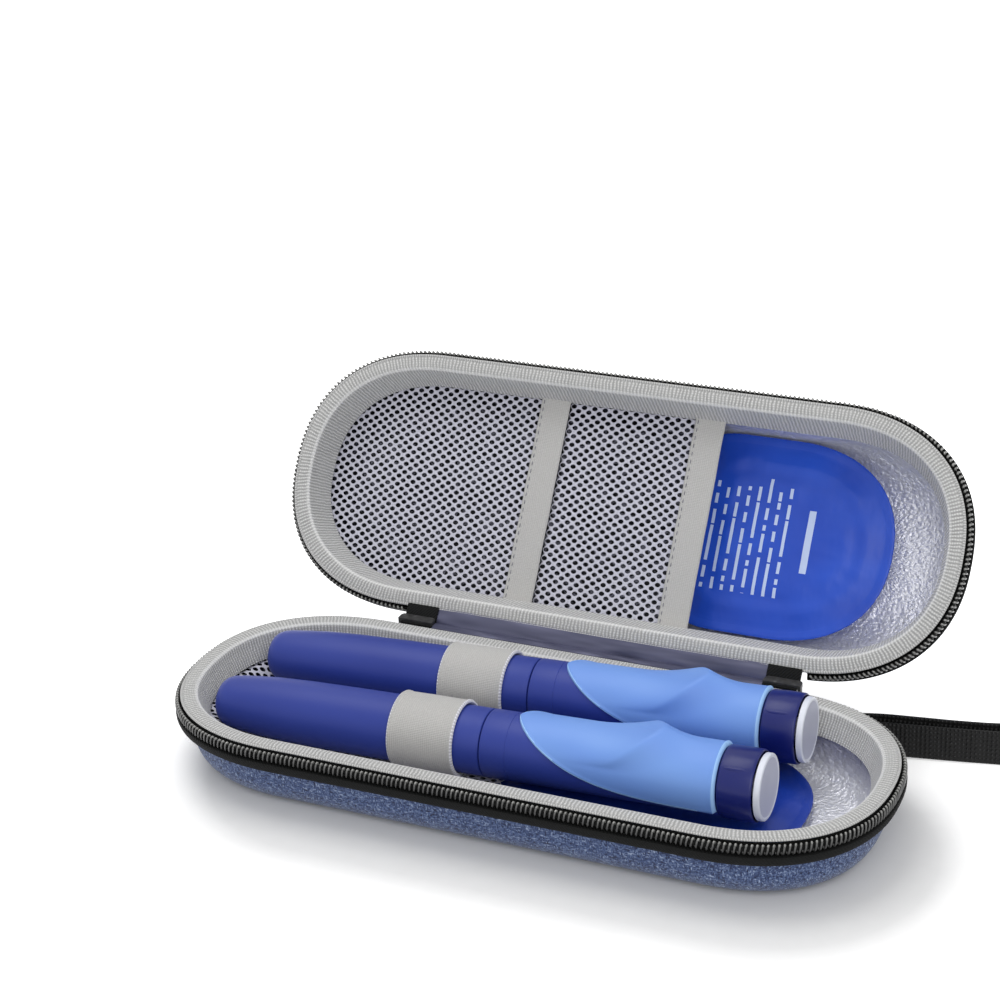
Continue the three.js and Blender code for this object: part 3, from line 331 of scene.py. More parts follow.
def zinc_slider():
    """Die-cast zinc, painted dark grey: satin, with paler rubbed spots"""
    zinc, tree, place = new_finish("painted_die_cast_zinc", Roughness=0.42, Metallic=0.3)
    rubbed = threads(tree, place, (1.5, 1.5, 1.5), detail=4.0)
    tone = add(tree, "ValToRGB", {"Fac": rubbed}, stops=[(0.3, "2c2c2d"), (0.6, "404041"), (0.8, "6a6a6b")])
    return finished(zinc, tone, rubbed, 0.05)


def clear_body(name, roughness):
    """Clear drawn glass or moulded clear polymer, smooth, hidden inside a pen"""
    clear, tree, place = new_finish(name, Roughness=roughness, Transmission_Weight=0.9, IOR=1.47)
    drawn = threads(tree, place, (20.0, 3.0, 3.0))
    return finished(clear, mixed(tree, drawn, "e6eef2", "f8fbfc"))


HEATHER = heather_polyester()
THREAD = twisted_yarn("polyester_sewing_thread", 0.3, "6e6e72", "94949a", 0.05)
LINING = knitted_lining()
PIPING = ribbed_thread("overlocked_lining_edge", 0.7, "a2a2a1", "cfcfce", 0.15)
ELASTIC = elastic_webbing()
SELVEDGE = ribbed_thread("elastic_selvedge", 0.9, "c2c2c8", "e8e8ee", 0.12)
FOIL = aluminium_foil()
# The base's pack is a darker copy of the lid's film: painted shade for its place deep in the tray
SHADED_GEL = gel_film("shaded_blue_nylon_gel_film", "112e8c", "1b41ac", False)
PRINTED_GEL = gel_film("printed_nylon_gel_film", "0e3aa9", "1a54d0", True)
NET = twisted_yarn("polyester_mesh", 0.5, "a2a2b0", "d6d6e2", 0.1, Sheen_Weight=0.2)
TAPE = zipper_tape()
COIL = nylon_coil()
WEBBING = strap_webbing()
GUSSET = gusset_film()
SLIDER = zinc_slider()
NAVY = moulded_plastic("navy_abs", "25368a", "2e4096", 0.5, Roughness=0.45, IOR=1.4)
RING = moulded_plastic("navy_polished_abs", "0f185e", "17226e", 0.8, Roughness=0.3, IOR=1.4)
GRIP = moulded_plastic("soft_touch_elastomer", "668fdf", "7ca6e6", 0.35, Roughness=0.5, IOR=1.45)
# A paler copy of the grip's elastomer: a painted highlight along the grip's lip
GRIP_EDGE_HIGHLIGHT = moulded_plastic("elastomer_lip_highlight", "96c2f8", "a6d0fc", 0.35, Roughness=0.45, IOR=1.45)
BUTTON = moulded_plastic("pale_grey_abs", "b2b5c8", "c4c7d8", 0.6, Roughness=0.4, IOR=1.53)
# A paler copy of the button's plastic: a painted highlight on its rim
BUTTON_RIM_HIGHLIGHT = moulded_plastic("pale_grey_abs_rim_highlight", "d8dce8", "e6e9f2", 0.6, Roughness=0.35, IOR=1.53)
GLASS = clear_body("borosilicate_glass", 0.05)
POLYMER = clear_body("clear_polypropylene", 0.25)
PLUNGER = moulded_plastic("bromobutyl_rubber", "777a80", "8a8d92", 0.3, Roughness=0.7)
ROD = moulded_plastic("acetal_rod", "8c8c8e", "a0a0a2", 0.3, Roughness=0.5)


# Sizes and places shared with the frame, in millimetres
HALF_LENGTH = 100
HALF_WIDTH = 36.8
END_REACH = 41.3
END_POWER = 2.29
END_CENTRE = HALF_LENGTH - END_REACH
BASE = {"depth": 21, "rounding": 9, "inner": 3.6, "top": 2.7, "floor": 3.2, "inner_rounding": 7.6,
        "lining": 6.9}
LID = {"depth": 33, "rounding": 17, "inner": 2.5, "top": 2.5, "floor": 2.5, "inner_rounding": 14.5,
       "lining": 9.5}
EDGE_INSET, EDGE_DROP, FOOT_INSET = 0.9, 0.8, 2.5
HINGE_Y, HINGE_Z = 40.39, 21.23
RIM_GAP = 0.23
TO_METRES = Matrix.Scale(0.001, 4)
BASE_PLACE = TO_METRES @ Matrix.Translation((0, 0, BASE["depth"]))
LID_TURN = Matrix.Rotation(math.radians(180 - 125.05), 4, "X")
LID_PLACE = (TO_METRES @ Matrix.Translation((0, HINGE_Y, HINGE_Z)) @ LID_TURN
             @ Matrix.Translation((0, HINGE_Y, -RIM_GAP)))


def pen_place(x, y, z, yaw, pitch):
    turn = Matrix.Rotation(math.radians(yaw), 4, "Z") @ Matrix.Rotation(math.radians(-pitch), 4, "Y")
    return TO_METRES @ Matrix.Translation((x, y, z)) @ turn


PENS = {
    "front": pen_place(-87.6, -11.9, 16.5, 0.87, 1.27),
    "rear": pen_place(-86, 15, 17, 1.81, 1.26),
}


# Outlines. A station is a place on an outline: (centre, reach, along, across, side).
def powered(value, power):
    return math.copysign(abs(value) ** (2 / power), value)


def end_run(start, stop, centre=END_CENTRE, reach=END_REACH, side=HALF_WIDTH, power=END_POWER, steps=1600):
    """Stations round an end, between two angles in degrees from +X"""
    run = []
    for i in range(steps + 1):
        angle = math.radians(start + (stop - start) * i / steps)
        run.append((centre, reach, powered(math.cos(angle), power), powered(math.sin(angle), power), side))
    return run


def side_run(start, stop, across, side=HALF_WIDTH, steps=1600):
    """Stations along a straight side, between two places on X"""
    return [(start + (stop - start) * i / steps, 0, 0, across, side) for i in range(steps + 1)]


def spot(station, inset):
    centre, reach, along, across, side = station
    return Vector((centre + along * (reach - inset), across * (side - inset)))


def lengths_along(points):
    """How far each point lies along a line of points, from its first"""
    points = [Vector(p) for p in points]
    total = [0.0]
    for a, b in zip(points, points[1:]):
        total.append(total[-1] + (b - a).length)
    return total


def lengths_of(run):
    return lengths_along([spot(station, 0) for station in run])


def evenly(run, spacing, closed):
    """Stations an even distance apart; a closed run doesn't repeat its first"""
    total = lengths_of(run)
    count = round(total[-1] / spacing)
    picked, place = [], 0
    for i in range(count if closed else count + 1):
        wanted = total[-1] * i / count
        while place < len(run) - 1 and total[place] < wanted:
            place += 1
        picked.append(run[place])
    return picked


RIM = (end_run(-90, 90) + side_run(END_CENTRE, -END_CENTRE, 1)
       + end_run(90, 270, centre=-END_CENTRE) + side_run(-END_CENTRE, END_CENTRE, -1))


def zip_run(left, right, facing):
    """Stations round the front, between two places on X at the hinge side. The lid's faces the other way."""
    start = math.degrees(math.acos(((right - END_CENTRE) / END_REACH) ** (END_POWER / 2)))
    run = (end_run(start, -90) + side_run(END_CENTRE, -END_CENTRE, -1)
           + end_run(270, 90, centre=-END_CENTRE) + side_run(-END_CENTRE, left, 1))
    return [(centre, reach, along, facing * across, side) for centre, reach, along, across, side in run]


# Making pieces
def next_row(bm, row, edges):
    """Extrudes a row of vertices and returns the new row, in the same order"""
    made = bmesh.ops.extrude_edge_only(bm, edges=edges)["geom"]
    fresh = {v for v in made if isinstance(v, bmesh.types.BMVert)}
    row = [next(e.other_vert(v) for e in v.link_edges if e.other_vert(v) in fresh) for v in row]
    edges = [e for e in made if isinstance(e, bmesh.types.BMEdge) and fresh.issuperset(e.verts)]
    return row, edges


def rows_of(places, closed):
    """A skin over rows of points, each row extruded from the one before. Returns it and its rows."""
    bm = bmesh.new()
    row = [bm.verts.new(p) for p in places[0]]
    edges = [bm.edges.new((row[i], row[i + 1])) for i in range(len(row) - 1)]
    if closed:
        edges.append(bm.edges.new((row[-1], row[0])))
    rows = [row]
    for points in places[1:]:
        row, edges = next_row(bm, row, edges)
        for vert, point in zip(row, points):
            vert.co = point
        rows.append(row)
    return bm, rows


def lay_out(bm, rows, across, along, closed):
    """Writes the map called cloth, in metres: X along each row and Y from row to row"""
    cloth = bm.loops.layers.uv.new("cloth")
    where = {v: (i, j) for j, row in enumerate(rows) for i, v in enumerate(row)}
    last = len(rows[0]) - 1
    for face in bm.faces:
        places = [where[loop.vert] for loop in face.loops]
        wraps = closed and {0, last} <= {i for i, _ in places}
        for loop, (i, j) in zip(face.loops, places):
            x = along[-1] if wraps and i == 0 else along[i]
            loop[cloth].uv = (x / 1000, across[j] / 1000)


def swept(section, row_at, along, closed, tube=True):
    """A section swept along a piece: row_at gives the row of places that a point of the section makes, and
    along their lengths. A tube's section closes on itself."""
    section = section + section[:1] if tube else section
    bm, rows = rows_of([row_at(*point) for point in section], closed)
    lay_out(bm, rows, lengths_along(section), along, closed)
    if tube:
        bmesh.ops.remove_doubles(bm, verts=rows[0] + rows[-1], dist=1e-4)
    return bm, rows


def carried(run, section, closed=True, tube=False, at=spot):
    """A section of (inset, height) points carried round an outline"""
    along = lengths_of(run + run[:1] if closed else run)
    return swept(section, lambda inset, height: [(*at(s, inset), height) for s in run], along, closed, tube)


def oval(inset, height, wide, tall, corners):
    """A small oval section, as (inset, height) points"""
    turns = [2 * math.pi * i / corners for i in range(corners)]
    return [(inset + wide * math.cos(a), height + tall * math.sin(a)) for a in turns]


def plugged(bm, near=None):
    """Closes what is left open, or only what is left open along a row"""
    rim = [e for e in bm.edges if e.is_boundary and (near is None or near.issuperset(e.verts))]
    bmesh.ops.holes_fill(bm, edges=rim, sides=0)
    return bm


def flat_map(bm, name, height_axis):
    """Writes a map, in metres, that looks at the piece straight: X across and one more axis up"""
    layer = bm.loops.layers.uv.new(name)
    for face in bm.faces:
        for loop in face.loops:
            loop[layer].uv = (loop.vert.co.x / 1000, loop.vert.co[height_axis] / 1000)


def piece(name, bm, place, material, body, finish_slot, *nodes, angle=40, extra=()):
    """Puts a bmesh in its place as an object that rides on a body, if one is given"""
    bmesh.ops.transform(bm, matrix=place, verts=bm.verts)
    bmesh.ops.recalc_face_normals(bm, faces=bm.faces)
    mesh = bpy.data.meshes.new(name)
    bm.to_mesh(mesh)
    bm.free()
    mesh.shade_smooth()
    mesh.set_sharp_from_angle(angle=math.radians(angle))
    for each in (material, *extra):
        mesh.materials.append(each)
    obj = bpy.data.objects.new(name, mesh)
    scene.collection.objects.link(obj)
    if body:
        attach(obj, body)
    if nodes:
        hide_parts(*nodes)
    return obj


def arc(inset, height, radius, steps):
    """Quarter round from a floor up to a wall, as (inset, height) points"""
    points = []
    for i in range(steps + 1):
        angle = math.radians(90 * i / steps)
        points.append((inset + radius - radius * math.sin(angle), height + radius - radius * math.cos(angle)))
    return points


def between(first, last, steps):
    """Points from one (inset, height) towards another, leaving out both"""
    return [tuple(a + (b - a) * i / steps for a, b in zip(first, last)) for i in range(1, steps)]


# Shells: moulded foam under heather cloth
def inner_inset(half, depth):
    """Inset of the shell's inner wall at a depth below the rim"""
    top = EDGE_INSET + half["top"]
    foot = FOOT_INSET + half["inner"]
    foot_depth = half["depth"] - half["floor"] - half["inner_rounding"]
    return top + (foot - top) * (depth - EDGE_DROP) / (foot_depth - EDGE_DROP)


def make_shell(name, half, place, body):
    """Outside from the floor's middle up to the rim, and back down inside"""
    run = evenly(RIM, 2.0, True)
    floor = -half["depth"]
    corner = arc(FOOT_INSET, floor, half["rounding"], 14)
    top = (EDGE_INSET, -EDGE_DROP)
    outside = [(i, floor) for i in (36, 30, 24)] + corner + between(corner[-1], top, 5)
    inner_floor = floor + half["floor"]
    inner_corner = arc(FOOT_INSET + half["inner"], inner_floor, half["inner_rounding"], 8)
    lip = (EDGE_INSET + half["top"], -EDGE_DROP)
    inside = [(36, inner_floor), (28, inner_floor)] + inner_corner + between(inner_corner[-1], lip, 4)
    section = outside + [top, lip] + inside[::-1]
    bm, _ = carried(run, section)
    piece(name, plugged(bm), place, HEATHER, body, "heather_cloth", name)


make_shell("base_shell", BASE, BASE_PLACE, "base")
make_shell("lid_shell", LID, LID_PLACE, "lid")


# Foil liners: thin film glued inside each shell, crimped where it is pressed round the ends
def ripple(x, y, seed):
    return noise.noise(Vector((x, y, seed)))


def make_liner(name, half, place, body, seed):
    run = evenly(RIM, 1.15, True)
    gap, step = 0.35, 1.5
    floor = -half["depth"] + half["floor"] + gap
    corner = arc(FOOT_INSET + half["inner"] + gap, floor, half["inner_rounding"] - gap, 14)
    top_depth = half["lining"] - 0.6
    top = (inner_inset(half, top_depth) + gap, -top_depth)
    wall = between(corner[-1], top, max(2, round((top[1] - corner[-1][1]) / 1.2)))
    insets = [36.2] + [34 - step * i for i in range(int((34 - corner[0][0]) / step) + 1)]
    section = [(i, floor) for i in insets] + corner + wall + [top]
    bm, rows = carried(run, section)
    along, depths = lengths_of(run), lengths_along(section)
    for j, (row, depth) in enumerate(zip(rows, depths)):
        ease = min(1, 0.25 + (len(rows) - 1 - j) / 6)
        for vert, place_along in zip(row, along):
            crimp = abs(ripple(place_along / 5.0, depth / 2.9, seed))
            crimp += 0.5 * ripple(place_along / 3.1, depth / 2.6, seed + 3)
            broad = ripple(place_along / 14, depth / 11, seed + 7)
            inward = Vector((-vert.co.x, -vert.co.y, 0)).normalized() * 0.6 + Vector((0, 0, 0.8))
            vert.co += inward.normalized() * max(ease * (0.42 * crimp + 0.2 * broad), 0)
    plugged(bm, set(rows[0]))
    piece(name, bm, place, FOIL, body, "foil", name, angle=180)


make_liner("base_foil_liner", BASE, BASE_PLACE, "base", 1.0)
make_liner("lid_foil_liner", LID, LID_PLACE, "lid", 5.0)


# Rim linings: knitted cloth over the rim, turned down inside, with an overlocked outer edge
def make_lining(name, half, place, body):
    run = evenly(RIM, 1.0, True)
    drop = half["lining"]
    inner = 2.05 + half["top"]
    face = [
        (0.6, -0.02), (1.3, 0.12), (2.2, 0.18), (inner - 1.5, 0.16), (inner - 0.9, 0.04),
        (inner - 0.35, -0.26), (inner, -0.85), (inner + 0.22, -1.8),
    ]
    foot = (7.2, -drop + 0.35)
    face += between(face[-1], foot, 5) + [foot, (7.3, -drop + 0.08), (7.05, -drop), (6.65, -drop + 0.05)]
    back = between(face[-1], (inner - 0.75, -1.1), 4) + [(inner - 0.85, -0.75), (3.0, -0.5), (0.6, -0.5)]
    bm, _ = carried(run, face + back, tube=True)
    piece(name, bm, place, LINING, body, "woven_lining", name, angle=60)
    bm, _ = carried(run, oval(0.22, -0.28, 0.42, 0.36, 9), tube=True)
    piece(name + "_edge", bm, place, PIPING, body, "woven_lining", angle=180)


make_lining("base_rim_lining", BASE, BASE_PLACE, "base")
make_lining("lid_rim_lining", LID, LID_PLACE, "lid")


# Zipper: a nylon coil beside the lining, on a woven tape sewn round each wall
COIL_PITCH, COIL_HEIGHT, COIL_DROP, FILAMENT_RADIUS = 1.3, 2.6, 2.25, 0.31
TAPE_DEPTH = 8.3


def make_tape(name, half, run, place, body):
    """Tape that bulges under the coil and lies against the wall below it"""
    stations = evenly(run, 1.5, False)
    foot_depth = half["depth"] - half["rounding"]
    wall = EDGE_INSET + (FOOT_INSET - EDGE_INSET) * (TAPE_DEPTH - EDGE_DROP) / (foot_depth - EDGE_DROP)
    foot = wall - 0.35
    section = [
        (0.55, -1.15), (foot, -TAPE_DEPTH + 0.15), (foot - 0.2, -TAPE_DEPTH),
        (foot - 0.7, -TAPE_DEPTH + 0.05), (0.1, -7.75), (-0.75, -7.0), (-1.42, -6.2), (-1.7, -5.4),
        (-1.74, -4.7), (-1.6, -4.3), (-1.2, -4.15), (-0.5, -4.1), (-0.05, -4.0), (0.0, -3.0),
        (0.0, -1.0), (0.25, -0.9),
    ]
    bm, _ = carried(stations, section, closed=False, tube=True)
    piece(name, plugged(bm), place, TAPE, body, "zipper_tape", name, angle=50)


def make_coil(name, run, place, body):
    """One filament wound into a flattened helix, with the cord that it is sewn round"""
    total = lengths_of(run)
    turns = int(total[-1] / COIL_PITCH)
    steps = 12
    points, here = [], 0
    for i in range(turns * steps + 1):
        wanted = min(i / steps * COIL_PITCH + 0.3, total[-1])
        while here < len(run) - 1 and total[here] < wanted:
            here += 1
        angle = 2 * math.pi * i / steps
        inset = -1.05 + 0.38 * math.cos(angle)
        points.append((*spot(run[here], inset), -COIL_DROP + COIL_HEIGHT / 2 * math.sin(angle)))
    curve = bpy.data.curves.new(name, "CURVE")
    curve.dimensions = "3D"
    spline = curve.splines.new("POLY")
    spline.points.add(len(points) - 1)
    for point, where in zip(spline.points, points):
        point.co = (*where, 1)
    curve.bevel_depth = FILAMENT_RADIUS
    curve.bevel_resolution = 1
    curve.use_fill_caps = True
    winding = bpy.data.objects.new(name + "_path", curve)
    scene.collection.objects.link(winding)
    mesh = bpy.data.meshes.new_from_object(winding)
    bpy.data.objects.remove(winding)
    bm = bmesh.new()
    bm.from_mesh(mesh)
    # Height up each turn, 0 low and 1 on top, which places the painted highlight
    height = bm.verts.layers.float.new("height")
    for vert in bm.verts:
        vert[height] = (vert.co.z + 3.9) / 3.3
    piece(name, bm, place, COIL, body, "zipper_coil", name, angle=180)
    bm, _ = carried(evenly(run, 1.5, False), oval(-0.78, -COIL_DROP, 0.3, 1.1, 8), closed=False, tube=True)
    piece(name + "_cord", plugged(bm), place, TAPE, body, "zipper_tape", angle=180)


for half_name, half, place, facing in (("base", BASE, BASE_PLACE, 1), ("lid", LID, LID_PLACE, -1)):
    make_tape(half_name + "_zipper_tape", half, zip_run(-55.9, 62.9, facing), place, half_name)
    make_coil(half_name + "_zipper_coil", zip_run(-57, 64, facing), place, half_name)


# Net pockets: diamond mesh
MESH_LONG, MESH_SHORT = 3.2, 2.5


def rim_inset(x, y):
    """How far inside the rim outline a point lies"""
    past = max(abs(x) - END_CENTRE, 0)
    low, high = 0.0, HALF_WIDTH
    for _ in range(24):
        inset = (low + high) / 2
        inside = (past / (END_REACH - inset)) ** END_POWER + (abs(y) / (HALF_WIDTH - inset)) ** END_POWER
        if inside > 1:
            high = inset
        else:
            low = inset
    return low


def net_mesh(left, right, edge, shape):
    """A flat diamond mesh inside the rim outline. A square grid is turned and stretched to diamonds, each is
    inset, its middle is dropped, and shape gives the height at each place."""
    bm = bmesh.new()
    cells = 84
    bmesh.ops.create_grid(bm, x_segments=cells, y_segments=cells, size=cells / 2)
    turn = Matrix.Rotation(math.pi / 4, 4, "Z")
    stretch = Matrix.Diagonal((MESH_LONG / math.sqrt(2), MESH_SHORT / math.sqrt(2), 1, 1))
    middle = Matrix.Translation(((left + right) / 2, 0, 0))
    bmesh.ops.transform(bm, matrix=middle @ stretch @ turn, verts=bm.verts)
    outside = []
    for face in bm.faces:
        x, y, _ = face.calc_center_median()
        if x < left or x > right or abs(x) > HALF_LENGTH - edge or rim_inset(x, y) < edge:
            outside.append(face)
    bmesh.ops.delete(bm, geom=outside, context="FACES")
    cells = list(bm.faces)
    bmesh.ops.inset_individual(bm, faces=cells, thickness=0.19, use_even_offset=True)
    bmesh.ops.delete(bm, geom=cells, context="FACES")
    for vert in bm.verts:
        vert.co.z = shape(vert.co.x, vert.co.y)
    bm.normal_update()
    bmesh.ops.solidify(bm, geom=bm.faces, thickness=0.14)
    return bm


def finish_net(obj, length, cover):
    """Rounds the strands; length, the cut, and cover, the share of it that the strands and knots cover, are
    not used
    """
    rounder = obj.modifiers.new("rounded strands", "SUBSURF")
    rounder.levels = rounder.render_levels = 1


def base_net_height(x, y):
    """From the lining's foot down to the pens' level, more gently round the end"""
    edge, bottom = 7.2, 7.9 - BASE["depth"]
    flat = 12 + 5 * min(max((-x - 62) / 22, 0), 1)
    share = min(max((rim_inset(x, y) - edge) / (flat - edge), 0), 1)
    share = share * share * (3 - 2 * share)
    return -7.45 + (bottom + 7.45) * share


def lid_net_height(x, y):
    return -10.05 + 0.35 * ripple(x / 17, y / 14, 2)


for name, left, right, edge, shape, place, body, length, cover in (
        ("lid_net_outer", -95, -22.6, 5.7, lid_net_height, LID_PLACE, "lid", 62.2, 0.44),
        ("lid_net_inner", -22.4, 24.8, 5.7, lid_net_height, LID_PLACE, "lid", 62.2, 0.46),
        ("base_net_pocket", -94, -2.4, 6.2, base_net_height, BASE_PLACE, "base", 61.2, 0.46)):
    net = piece(name, net_mesh(left, right, edge, shape), place, NET, body, "net", name, angle=180)
    finish_net(net, length, cover)


# Elastic: bands across the lid's nets, and a loop round each pen
def make_band(name, left):
    """A band with rounded selvedges, gently wavy, stitched to the net along its left edge"""
    width, reach, level = 9.0, HALF_WIDTH - 6.9, -9.1
    section = [(0.0, 0.0), (0.25, 0.33), (0.8, 0.4), (2.4, 0.34), (4.5, 0.32), (6.6, 0.34), (8.2, 0.4),
               (8.75, 0.33), (9.0, 0.0), (8.7, -0.32), (4.5, -0.36), (0.3, -0.32)]
    along = [2 * reach * i / 40 for i in range(41)]

    def row_at(x, z):
        sway = 0.25 if 0 < x < width else 0.15
        places = [y - reach for y in along]
        return [(left + x + sway * ripple(left, y / 9, 1), y, level + z) for y in places]

    bm, _ = swept(section, row_at, along, False)
    piece(name, plugged(bm), LID_PLACE, ELASTIC, "lid", "elastic", name, angle=60)
    bm = bmesh.new()
    stitches = 26
    for i in range(stitches):
        y = -reach + 2 * reach * (i + 0.5) / stitches
        stitch = bmesh.ops.create_icosphere(bm, subdivisions=1, radius=0.5)["verts"]
        shape = Matrix.Translation((left + 0.95, y, level + 0.38)) @ Matrix.Diagonal((0.42, 1.5, 0.36, 1))
        bmesh.ops.transform(bm, matrix=shape, verts=stitch)
    piece(name + "_stitches", bm, LID_PLACE, THREAD, "lid", "elastic", angle=180)


make_band("lid_band_outer", -31)
make_band("lid_band_inner", 16.3)


def make_loop(name, pen):
    """A closed band round the pen, pressed flat where it is sewn to the net"""
    start, width, bore = 55.5, 19.0, 9.3
    section = [(0.0, 0.45), (0.12, 0.95), (0.5, 1.18), (1.0, 1.12), (1.6, 0.95), (5, 0.95), (9.5, 1.0),
               (14, 0.95), (17.4, 0.95), (18.0, 1.12), (18.5, 1.18), (18.88, 0.95), (19.0, 0.45), (18.6, 0.1),
               (9.5, 0.05), (0.4, 0.1)]
    steps, squash = 96, 0.12

    def row_at(x, rise):
        row = []
        low = -bore + 0.9 - 0.35 * (1 - rise)
        for i in range(steps):
            angle = 2 * math.pi * i / steps
            y, z = (bore + rise) * math.sin(angle), -(bore + rise) * math.cos(angle)
            row.append((start + x, y, low + (z - low) * squash if z < low else z))
        return row

    round_loop = 2 * math.pi * (bore + 0.9)
    bm, _ = swept(section, row_at, [round_loop * i / steps for i in range(steps + 1)], True)
    for face in bm.faces:
        x = face.calc_center_median().x - start
        face.material_index = 1 if x < 0.6 or x > width - 0.6 else 0
    piece(name, bm, PENS[pen], ELASTIC, "base", "elastic", name, angle=60, extra=(SELVEDGE,))


make_loop("pen_loop_front", "front")
make_loop("pen_loop_rear", "rear")


# Gel packs: two films welded round their edge, full of gel
GEL_CROWN = 15.0


def gel_spot(station, inset):
    """Like spot, but past the crown the rows close in on the pack's middle line"""
    if inset <= GEL_CROWN:
        return spot(station, inset)
    centre, reach, along, across, side = station
    share = (side - inset) / (side - GEL_CROWN)
    edge = spot(station, GEL_CROWN)
    start = Vector((edge.x if reach == 0 else centre, 0))
    return start + (edge - start) * share


def make_gel(name, left, right, width, place, shift, height, material, body, seed):
    side = width / 2
    reach, butt = 33.0, 18.0
    run = (end_run(-90, 90, right - reach, reach, side) + side_run(right - reach, left + butt, 1, side)
           + end_run(90, 270, left + butt, butt, side, 4) + side_run(left + butt, right - reach, -1, side))
    stations = evenly(run, 1.6, True)
    weld, weld_top, weld_low, crown, thick = 2.6, 2.6, 1.9, GEL_CROWN, 4.1
    insets = [0.0, 0.15, 0.8, 1.6, 2.3, weld] + [weld + (crown - weld) * i / 12 for i in range(1, 13)]
    insets += [16.5, 18.5, 20.5, 22.5, 24.5, side - 2, side - 0.8]

    def rise(inset):
        share = min(max((inset - weld) / (crown - weld), 0), 1)
        welt = 0.16 * math.exp(-((inset - 7.5) / 1.5) ** 2) - 0.14 * math.exp(-((inset - 10.8) / 1.7) ** 2)
        return math.sin(share * math.pi / 2) ** 0.85 + welt

    above = [(i, weld_top + (thick - weld_top) * rise(i) - (0.12 if i == 0 else 0)) for i in insets]
    below = [(i, weld_low * (1 - rise(i))) for i in insets]
    section = below[::-1] + above
    bm, rows = carried(stations, section, at=gel_spot)
    for j, ((inset, _), row) in enumerate(zip(section, rows)):
        lift = min(max((inset - 1.5) / 6, 0), 1)
        for vert in row:
            x, y, _ = vert.co
            wave = ripple(x / 13, y / 9, seed) + 0.6 * ripple(x / 6, y / 15, seed + 4)
            crease = -abs(ripple(x / 9, y / 5, seed + 9)) * 1.2
            if j >= len(below):
                vert.co.z += lift * (0.32 * wave + 0.28 * crease)
            if inset <= weld:
                vert.co.z += 0.07 * math.sin(2.1 * x + 1.7 * y)
    plugged(bm)
    flat_map(bm, "plan", 1)
    where = place @ Matrix.Translation((0, shift, height))
    obj = piece(name, bm, where, material, body, "gel", name, angle=180)


on_foil = -BASE["depth"] + BASE["floor"] + 1.0
make_gel("base_gel_pack", -5.5, 77.5, 55.6, BASE_PLACE, 0, on_foil, SHADED_GEL, "base_gel", 11.0)
make_gel("lid_gel_pack", 13.5, 76, 57, LID_PLACE, 0.8, -24.1, PRINTED_GEL, "lid_gel", 17.0)


# Pens, along X from the cap's tip
def spun(profile, steps=72, closed=False):
    """A (place, radius) profile spun about the X axis"""
    bm = bmesh.new()
    row = [bm.verts.new((x, 0, radius)) for x, radius in profile]
    pairs = list(zip(row, row[1:])) + ([(row[-1], row[0])] if closed else [])
    edges = [bm.edges.new(pair) for pair in pairs]
    bmesh.ops.spin(bm, geom=row + edges, cent=(0, 0, 0), axis=(1, 0, 0), angle=2 * math.pi, steps=steps,
                   use_merge=True)
    bmesh.ops.remove_doubles(bm, verts=bm.verts, dist=1e-4)
    return bm


CAP_LENGTH, CAP_RADIUS, BARREL_RADIUS = 81.5, 9.1, 9.15
SHOULDER = CAP_LENGTH + 0.3
GRIP_START, GRIP_LENGTH, GRIP_RADIUS, FIN_RISE, GRIP_LIP = 90.6, 56.1, 9.95, 3.05, 0.85
GRIP_END = GRIP_START + GRIP_LENGTH
RING_START = GRIP_END + 0.3
RING_END = RING_START + 9.2


def make_cap(pen):
    tip = [(0, 0), (0.05, 1.2), (0.2, 2.4), (0.5, 3.6), (0.95, 4.75), (1.6, 5.75), (2.5, 6.5), (4.0, 7.1),
           (6.5, 7.5), (11, 7.95), (17, 8.45), (27, 8.8), (40, 8.95), (60, 9.05)]
    bore, deep_bore, bottom = 7.9, 5.8, 12
    mouth = [(CAP_LENGTH - 0.3, CAP_RADIUS), (CAP_LENGTH - 0.08, CAP_RADIUS - 0.1),
             (CAP_LENGTH, CAP_RADIUS - 0.35), (CAP_LENGTH, bore), (27, bore), (bottom, deep_bore), (bottom, 0)]
    name = f"pen_{pen}_cap"
    piece(name, spun(tip + mouth), PENS[pen], NAVY, "pen_" + pen, "pen_shell", name, angle=50)


def make_barrel(pen):
    neck, bore, seam = 73.8, 3.3, 89.0
    profile = [(neck, 6.5), (neck, 7.55), (SHOULDER, 7.6), (SHOULDER, 8.8), (SHOULDER + 0.1, 9.05),
               (SHOULDER + 0.35, BARREL_RADIUS), (seam - 0.1, BARREL_RADIUS), (seam, BARREL_RADIUS - 0.09),
               (seam + 0.12, BARREL_RADIUS - 0.09), (seam + 0.22, BARREL_RADIUS),
               (GRIP_END - 0.3, BARREL_RADIUS), (GRIP_END, 8.9), (GRIP_END, 5), (GRIP_END + 7.5, 5),
               (GRIP_END + 7.5, bore), (neck + 6.5, bore), (neck + 6.5, 6.5)]
    name = f"pen_{pen}_barrel"
    piece(name, spun(profile, closed=True), PENS[pen], NAVY, "pen_" + pen, "pen_shell", name, angle=40)


def wrap_at(place):
    """Half the angle that the grip wraps, in radians, at a place along the pen"""
    share = min(max((GRIP_END - place) / GRIP_LENGTH, 0), 1)
    return math.radians(122 * (1 - share ** 2.5) ** 0.667)


def grip_radius(place, angle):
    """Outside of the grip, with the thumb fin that sweeps forward from its crest"""
    share = abs(math.degrees(angle)) / 68
    if share >= 1:
        return GRIP_RADIUS
    crest = GRIP_START + 40 - 14.5 * share ** 1.5
    span = 16 if place < crest else 13
    near = min(abs(place - crest) / span, 1)
    soft = math.sqrt(near * near + 0.0016) - 0.04
    return GRIP_RADIUS + FIN_RISE * (1 - share ** 2) * max(1 - soft, 0) ** 2.2


